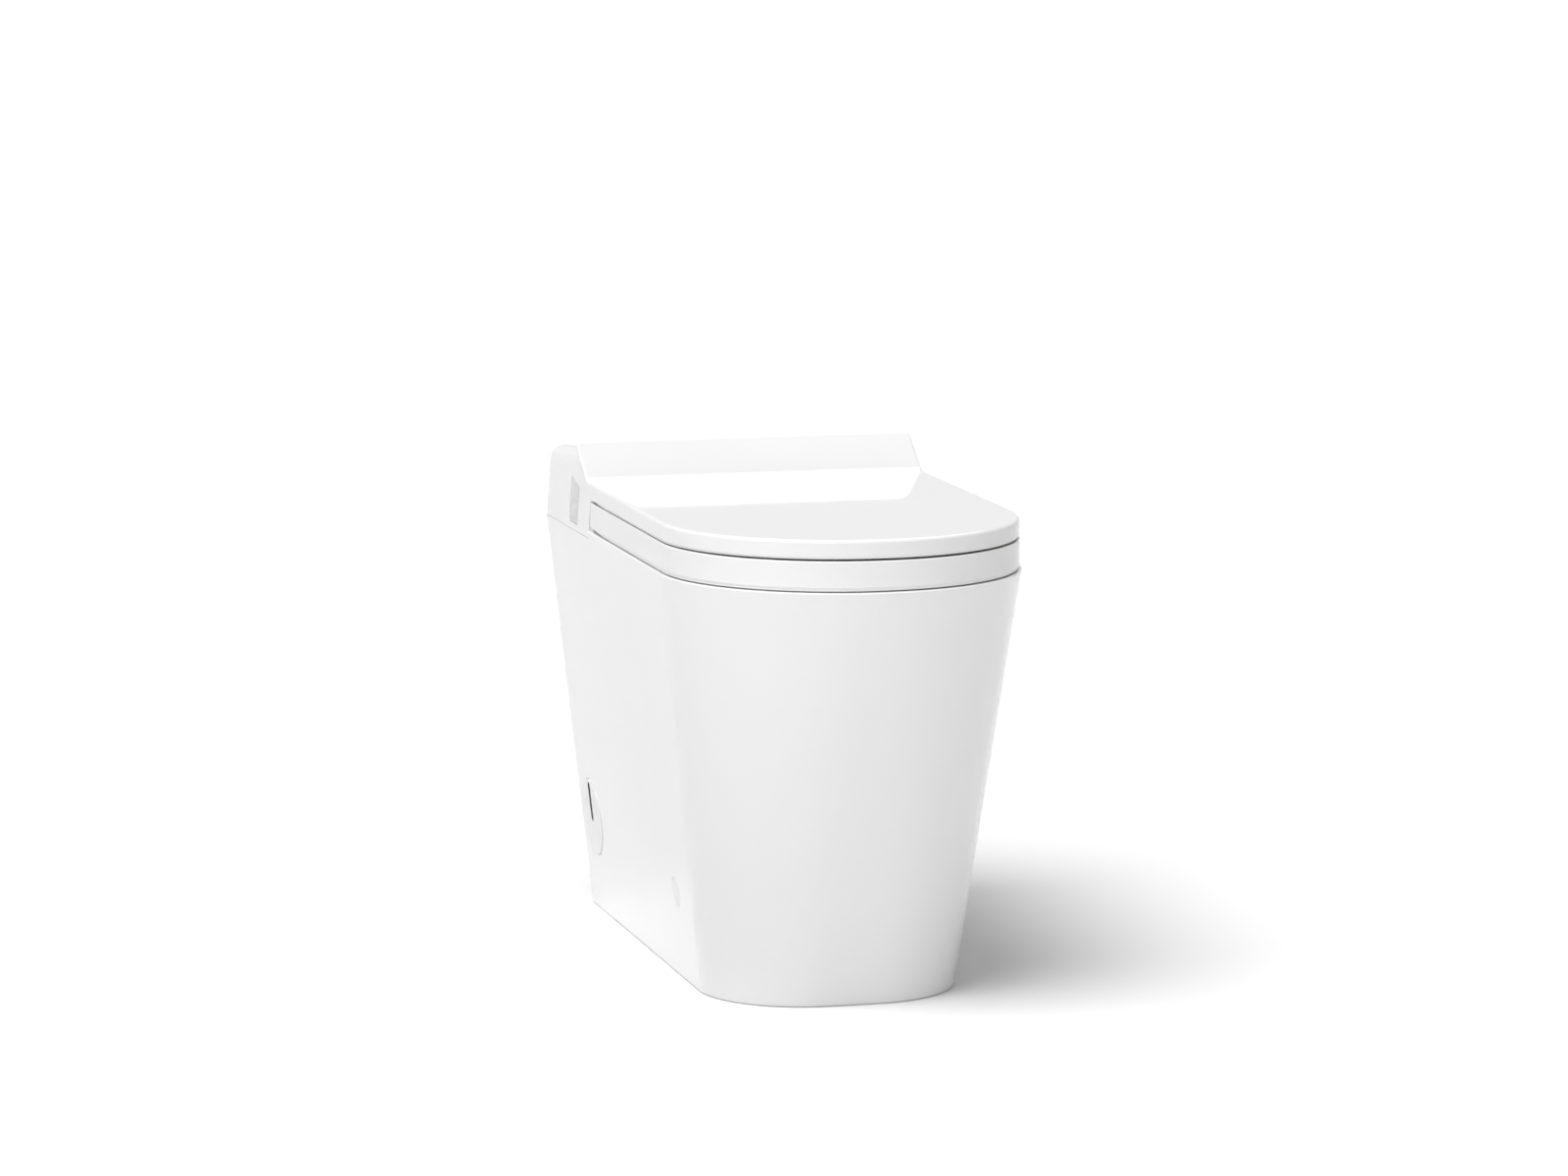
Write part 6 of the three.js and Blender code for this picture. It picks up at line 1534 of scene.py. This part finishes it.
def strip_lamp(name, side, away, power):
    """A long low lamp near the floor, turned to the object and left out of reflections."""
    data = bpy.data.lights.new(name, "AREA")
    data.shape = "RECTANGLE"
    data.size, data.size_y = STRIP_SIZE
    data.energy = power
    turn = math.radians(side)
    obj = bpy.data.objects.new(name, data)
    obj.location = (away * math.sin(turn), -away * math.cos(turn), STRIP_Z)
    obj.rotation_euler = (math.radians(90), 0, turn)
    obj.visible_glossy = False
    bpy.context.scene.collection.objects.link(obj)


LIT_CORNER = (-0.45, -0.15, 0.0)
LIT_REACH = (0.1, 0.5)              # metres from that corner over which the bounce grows


def stage_floor(settings):
    """A white floor whose bounce on the object is weaker beside the corner facing the key lamp."""
    size = 40.0
    mesh = bpy.data.meshes.new("floor")
    corners = [(-size, -size, 0), (size, -size, 0), (size, size, 0), (-size, size, 0)]
    mesh.from_pydata(corners, [], [(0, 1, 2, 3)])
    obj = bpy.data.objects.new("floor", mesh)
    bpy.context.scene.collection.objects.link(obj)
    material = bpy.data.materials.new("floor")
    material.use_nodes = True
    tree = material.node_tree
    tree.nodes.clear()
    path = tree.nodes.new("ShaderNodeLightPath")
    seen = math_node(tree, "MAXIMUM", path.outputs["Is Camera Ray"], path.outputs["Is Glossy Ray"])
    seen = math_node(tree, "MAXIMUM", seen, path.outputs["Is Transmission Ray"])
    away = tree.nodes.new("ShaderNodeVectorMath")
    away.operation = "DISTANCE"
    tree.links.new(tree.nodes.new("ShaderNodeTexCoord").outputs["Object"], away.inputs[0])
    away.inputs[1].default_value = LIT_CORNER
    near = node(tree, "ShaderNodeMapRange", Value=away.outputs["Value"],
                From_Min=LIT_REACH[0], From_Max=LIT_REACH[1],
                To_Min=settings.corner_bounce, To_Max=settings.floor_bounce)
    shade = node(tree, "ShaderNodeMapRange", Value=seen, To_Min=near.outputs["Result"])
    tint = tree.nodes.new("ShaderNodeVectorMath")
    tint.operation = "SCALE"
    tint.inputs[0].default_value = tuple(settings.floor_colour)
    tree.links.new(shade.outputs["Result"], tint.inputs["Scale"])
    matt = node(tree, "ShaderNodeBsdfDiffuse", Color=tint.outputs["Vector"])
    lift = math_node(tree, "MULTIPLY", seen, settings.floor_lift)
    glow = node(tree, "ShaderNodeEmission", Color=(1, 1, 1, 1), Strength=lift)
    both = tree.nodes.new("ShaderNodeAddShader")
    tree.links.new(matt.outputs[0], both.inputs[0])
    tree.links.new(glow.outputs[0], both.inputs[1])
    out = tree.nodes.new("ShaderNodeOutputMaterial")
    tree.links.new(both.outputs[0], out.inputs["Surface"])
    mesh.materials.append(material)


SOFTBOX_WAY = (0.25, 0.62, 0.745)
SOFTBOX_RIM = (19, 15)              # degrees from its middle where it begins and is full


def sky(settings):
    """Even surroundings; mirrors alone also see a softbox above and behind."""
    world = bpy.data.worlds.new("sky")
    bpy.context.scene.world = world
    world.use_nodes = True
    tree = world.node_tree
    tree.nodes.clear()
    path = tree.nodes.new("ShaderNodeLightPath")
    mirrored_sky = math_node(
        tree, "MAXIMUM", path.outputs["Is Glossy Ray"], path.outputs["Is Transmission Ray"])
    way = tree.nodes.new("ShaderNodeVectorMath")
    way.operation = "DOT_PRODUCT"
    tree.links.new(tree.nodes.new("ShaderNodeTexCoord").outputs["Generated"], way.inputs[0])
    way.inputs[1].default_value = Vector(SOFTBOX_WAY).normalized()
    outer, inner = (math.cos(math.radians(angle)) for angle in SOFTBOX_RIM)
    softbox = node(tree, "ShaderNodeMapRange", Value=way.outputs["Value"],
                   From_Min=outer, From_Max=inner, To_Min=settings.sky_gloss,
                   To_Max=settings.sky_gloss + settings.softbox_gloss)
    span = node(tree, "ShaderNodeMapRange", Value=mirrored_sky, To_Min=settings.sky_strength,
                To_Max=softbox.outputs["Result"])
    strength = math_node(tree, "MAXIMUM", span.outputs["Result"], path.outputs["Is Camera Ray"])
    glow = node(tree, "ShaderNodeBackground", Color=(1, 1, 1, 1), Strength=strength)
    out = tree.nodes.new("ShaderNodeOutputWorld")
    tree.links.new(glow.outputs[0], out.inputs["Surface"])


# Add-on

def size_setting(title, about, default):
    return bpy.props.FloatProperty(
        name=title, description=about, default=default, min=0, subtype="DISTANCE", unit="LENGTH")


def in_mm(setting):
    """A size setting, kept in metres, as millimetres."""
    return round(setting / MM, 3)


class ToiletSizes(bpy.types.PropertyGroup):
    """Rounds, gaps and rises that shape the edges"""
    rim_round: size_setting("Rim round", "Round along the top of the ceramic rim", 0.0012)
    ring_round: size_setting("Ring round", "Round along the top of the seat ring", 0.0012)
    lid_round: size_setting("Lid round", "Round along the top of the lid", 0.0034)
    housing_round: size_setting("Housing round", "Round along the front of the rear housing", 0.0022)
    key_gap: size_setting("Key gap", "Gap round each key of the control strip", 0.00018)
    cover_rise: size_setting("Cover rise", "How far the access covers stand proud", 0.0009)


def colour_setting(title, about, default):
    return bpy.props.FloatVectorProperty(
        name=title, description=about, default=default, min=0, max=1, subtype="COLOR", size=3)


def share_setting(title, about, default):
    return bpy.props.FloatProperty(
        name=title, description=about, default=default, min=0, max=1, subtype="FACTOR")


def strength_setting(title, about, default):
    return bpy.props.FloatProperty(name=title, description=about, default=default, min=0)


class ToiletFinishes(bpy.types.PropertyGroup):
    """Colours of the main finishes"""
    glaze_colour: colour_setting("Glaze", "Colour of the glazed ceramic", (0.885, 0.885, 0.885))
    plastic_colour: colour_setting(
        "White moulding", "Colour of the lid, seat ring and housing", (0.826, 0.826, 0.826))
    grey_colour: colour_setting(
        "Grey moulding", "Colour of the control strip and keys", (0.68, 0.685, 0.685))
    dark_colour: colour_setting(
        "Dark moulding", "Colour of the hidden plastic pieces", (0.075, 0.08, 0.085))


class ToiletStage(bpy.types.PropertyGroup):
    """Camera, lamps and floor"""
    camera_place: bpy.props.FloatVectorProperty(
        name="Camera", description="Where the camera stands", subtype="XYZ", unit="LENGTH", size=3,
        default=(-1.5244, -5.7342, 1.2495))
    camera_yaw: bpy.props.FloatProperty(
        name="Yaw", description="How far the view turns to the right", subtype="ANGLE",
        default=0.2582)
    camera_pitch: bpy.props.FloatProperty(
        name="Pitch", description="How far the view tips down", subtype="ANGLE", default=0.1462)
    lens: bpy.props.FloatProperty(
        name="Lens", description="Focal length on a 36 mm sensor, in millimetres",
        default=139.03, min=10)
    floor_colour: colour_setting("Floor", "Colour of the floor", (0.92, 0.92, 0.92))
    floor_bounce: share_setting(
        "Floor bounce", "Share of the floor's colour that lights the object", 0.75)
    corner_bounce: share_setting(
        "Corner bounce", "The same share beside the corner that faces the key lamp", 0.35)
    floor_lift: strength_setting("Floor lift", "White added to the floor for the camera alone", 0.005)
    sky_strength: strength_setting("Ambient", "Strength of the light from all round", 0.328)
    sky_gloss: strength_setting("Mirrored sky", "Strength of the surroundings in reflections", 0.82)
    softbox_gloss: strength_setting(
        "Mirrored softbox", "Strength of the softbox behind in reflections", 2.4)
    key_power: strength_setting("Key lamp", "Strength of the soft light from the left", 2.7)
    front_power: strength_setting(
        "Front strip", "Power of the low strip lamp in front, in watts", 4.8)
    left_power: strength_setting(
        "Left strip", "Power of the low strip lamp at the left, in watts", 3.3)


class ToiletOperator:
    bl_options = {"REGISTER", "UNDO"}


class TOILET_OT_finishes(ToiletOperator, bpy.types.Operator):
    """Builds the finishes of every piece"""
    bl_idname = "toilet.finishes"
    bl_label = "Finishes"

    def execute(self, context):
        build_finishes(context.scene.toilet_finishes)
        return {"FINISHED"}


class TOILET_OT_ceramic_body(ToiletOperator, bpy.types.Operator):
    """Builds the skirt with its bowl and trapway"""
    bl_idname = "toilet.ceramic_body"
    bl_label = "Ceramic body"

    def execute(self, context):
        ceramic_body(in_mm(context.scene.toilet_sizes.rim_round))
        return {"FINISHED"}


class TOILET_OT_access_covers(ToiletOperator, bpy.types.Operator):
    """Builds the round covers on both sides"""
    bl_idname = "toilet.access_covers"
    bl_label = "Access covers"

    def execute(self, context):
        access_covers(in_mm(context.scene.toilet_sizes.cover_rise))
        return {"FINISHED"}


class TOILET_OT_bolt_caps(ToiletOperator, bpy.types.Operator):
    """Builds the caps over the side fixings"""
    bl_idname = "toilet.bolt_caps"
    bl_label = "Bolt caps"

    def execute(self, context):
        bolt_caps()
        return {"FINISHED"}


class TOILET_OT_seat_ring(ToiletOperator, bpy.types.Operator):
    """Builds the seat ring, its underside and its heater"""
    bl_idname = "toilet.seat_ring"
    bl_label = "Seat ring"

    def execute(self, context):
        seat_ring(in_mm(context.scene.toilet_sizes.ring_round))
        seat_plates()
        return {"FINISHED"}


class TOILET_OT_seat_bumpers(ToiletOperator, bpy.types.Operator):
    """Builds the four bumpers under the ring"""
    bl_idname = "toilet.seat_bumpers"
    bl_label = "Seat bumpers"

    def execute(self, context):
        seat_bumpers()
        return {"FINISHED"}


class TOILET_OT_lid(ToiletOperator, bpy.types.Operator):
    """Builds the lid with its rear sweep and its underside"""
    bl_idname = "toilet.lid"
    bl_label = "Lid"

    def execute(self, context):
        lid(in_mm(context.scene.toilet_sizes.lid_round))
        lid_underside()
        return {"FINISHED"}


class TOILET_OT_lid_bumpers(ToiletOperator, bpy.types.Operator):
    """Builds the two bumpers under the lid"""
    bl_idname = "toilet.lid_bumpers"
    bl_label = "Lid bumpers"

    def execute(self, context):
        lid_bumpers()
        return {"FINISHED"}


class TOILET_OT_rear_housing(ToiletOperator, bpy.types.Operator):
    """Builds the shell over the works"""
    bl_idname = "toilet.rear_housing"
    bl_label = "Rear housing"

    def execute(self, context):
        rear_housing(in_mm(context.scene.toilet_sizes.housing_round))
        return {"FINISHED"}


class TOILET_OT_control_strip(ToiletOperator, bpy.types.Operator):
    """Builds the panel on the left side and its two keys"""
    bl_idname = "toilet.control_strip"
    bl_label = "Control strip"

    def execute(self, context):
        control_strip(in_mm(context.scene.toilet_sizes.key_gap))
        return {"FINISHED"}


class TOILET_OT_base_plate(ToiletOperator, bpy.types.Operator):
    """Builds the plate that carries the seat unit"""
    bl_idname = "toilet.base_plate"
    bl_label = "Base plate"

    def execute(self, context):
        base_plate()
        return {"FINISHED"}


class TOILET_OT_deck_fixings(ToiletOperator, bpy.types.Operator):
    """Builds the deck bolts, the hinge shafts and their dampers"""
    bl_idname = "toilet.deck_fixings"
    bl_label = "Deck fixings"

    def execute(self, context):
        deck_fixings()
        return {"FINISHED"}


class TOILET_OT_wand(ToiletOperator, bpy.types.Operator):
    """Builds the wand, its guide and its motor"""
    bl_idname = "toilet.wand"
    bl_label = "Spray wand"

    def execute(self, context):
        wand()
        return {"FINISHED"}


class TOILET_OT_water_heater(ToiletOperator, bpy.types.Operator):
    """Builds the heater's tank and ports"""
    bl_idname = "toilet.water_heater"
    bl_label = "Water heater"

    def execute(self, context):
        water_heater()
        return {"FINISHED"}


class TOILET_OT_control_box(ToiletOperator, bpy.types.Operator):
    """Builds the box of the electronics"""
    bl_idname = "toilet.control_box"
    bl_label = "Control box"

    def execute(self, context):
        control_box()
        return {"FINISHED"}


class TOILET_OT_dryer(ToiletOperator, bpy.types.Operator):
    """Builds the fan and its duct"""
    bl_idname = "toilet.dryer"
    bl_label = "Dryer"

    def execute(self, context):
        dryer()
        return {"FINISHED"}


class TOILET_OT_deodoriser(ToiletOperator, bpy.types.Operator):
    """Builds the filter's case"""
    bl_idname = "toilet.deodoriser"
    bl_label = "Deodoriser"

    def execute(self, context):
        deodoriser()
        return {"FINISHED"}


class TOILET_OT_power_gland(ToiletOperator, bpy.types.Operator):
    """Builds the gland of the power cord"""
    bl_idname = "toilet.power_gland"
    bl_label = "Power gland"

    def execute(self, context):
        gland()
        return {"FINISHED"}


class TOILET_OT_flush_works(ToiletOperator, bpy.types.Operator):
    """Builds the pump, its cradle, the rim pipe and the inlet valve"""
    bl_idname = "toilet.flush_works"
    bl_label = "Flush works"

    def execute(self, context):
        flush_works()
        return {"FINISHED"}


class TOILET_OT_drain(ToiletOperator, bpy.types.Operator):
    """Builds the elbow, its gasket and the floor seal"""
    bl_idname = "toilet.drain"
    bl_label = "Drain"

    def execute(self, context):
        drain()
        return {"FINISHED"}


class TOILET_OT_side_fixings(ToiletOperator, bpy.types.Operator):
    """Builds the floor brackets and the side screws"""
    bl_idname = "toilet.side_fixings"
    bl_label = "Side fixings"

    def execute(self, context):
        side_fixings()
        return {"FINISHED"}


class TOILET_OT_stage(ToiletOperator, bpy.types.Operator):
    """Sets the camera, the lamps, the floor and the sky"""
    bl_idname = "toilet.stage"
    bl_label = "Stage"

    def execute(self, context):
        settings = context.scene.toilet_stage
        camera(settings)
        stage_floor(settings)
        sky(settings)
        lamp("key", side=-59, height=65, power=settings.key_power, spread=40)
        strip_lamp("front_strip", side=0, away=1.95, power=settings.front_power)
        strip_lamp("left_strip", side=-66, away=1.96, power=settings.left_power)
        return {"FINISHED"}


class TOILET_PT_panel(bpy.types.Panel):
    """Lists the pieces and their settings"""
    bl_idname = "TOILET_PT_panel"
    bl_label = "Smart toilet"
    bl_space_type = "VIEW_3D"
    bl_region_type = "UI"
    bl_category = "Toilet"

    def draw(self, context):
        for step in STEPS:
            self.layout.operator(step.bl_idname)
        scene = context.scene
        for group in (scene.toilet_sizes, scene.toilet_finishes, scene.toilet_stage):
            box = self.layout.box()
            for name in group.__annotations__:
                box.prop(group, name)


STEPS = (
    TOILET_OT_finishes, TOILET_OT_ceramic_body, TOILET_OT_access_covers, TOILET_OT_bolt_caps,
    TOILET_OT_seat_ring, TOILET_OT_seat_bumpers, TOILET_OT_lid, TOILET_OT_lid_bumpers,
    TOILET_OT_rear_housing, TOILET_OT_control_strip, TOILET_OT_base_plate, TOILET_OT_deck_fixings,
    TOILET_OT_wand, TOILET_OT_water_heater, TOILET_OT_control_box, TOILET_OT_dryer,
    TOILET_OT_deodoriser, TOILET_OT_power_gland, TOILET_OT_flush_works, TOILET_OT_drain,
    TOILET_OT_side_fixings, TOILET_OT_stage)
CLASSES = (ToiletSizes, ToiletFinishes, ToiletStage, *STEPS, TOILET_PT_panel)


def register():
    for each in CLASSES:
        bpy.utils.register_class(each)
    bpy.types.Scene.toilet_sizes = bpy.props.PointerProperty(type=ToiletSizes)
    bpy.types.Scene.toilet_finishes = bpy.props.PointerProperty(type=ToiletFinishes)
    bpy.types.Scene.toilet_stage = bpy.props.PointerProperty(type=ToiletStage)


def unregister():
    del bpy.types.Scene.toilet_stage
    del bpy.types.Scene.toilet_finishes
    del bpy.types.Scene.toilet_sizes
    for each in reversed(CLASSES):
        bpy.utils.unregister_class(each)


def main():
    register()
    bpy.context.scene.view_settings.view_transform = "Standard"
    for step in STEPS:
        area, name = step.bl_idname.split(".")
        getattr(getattr(bpy.ops, area), name)()


if __name__ == "__main__":
    main()
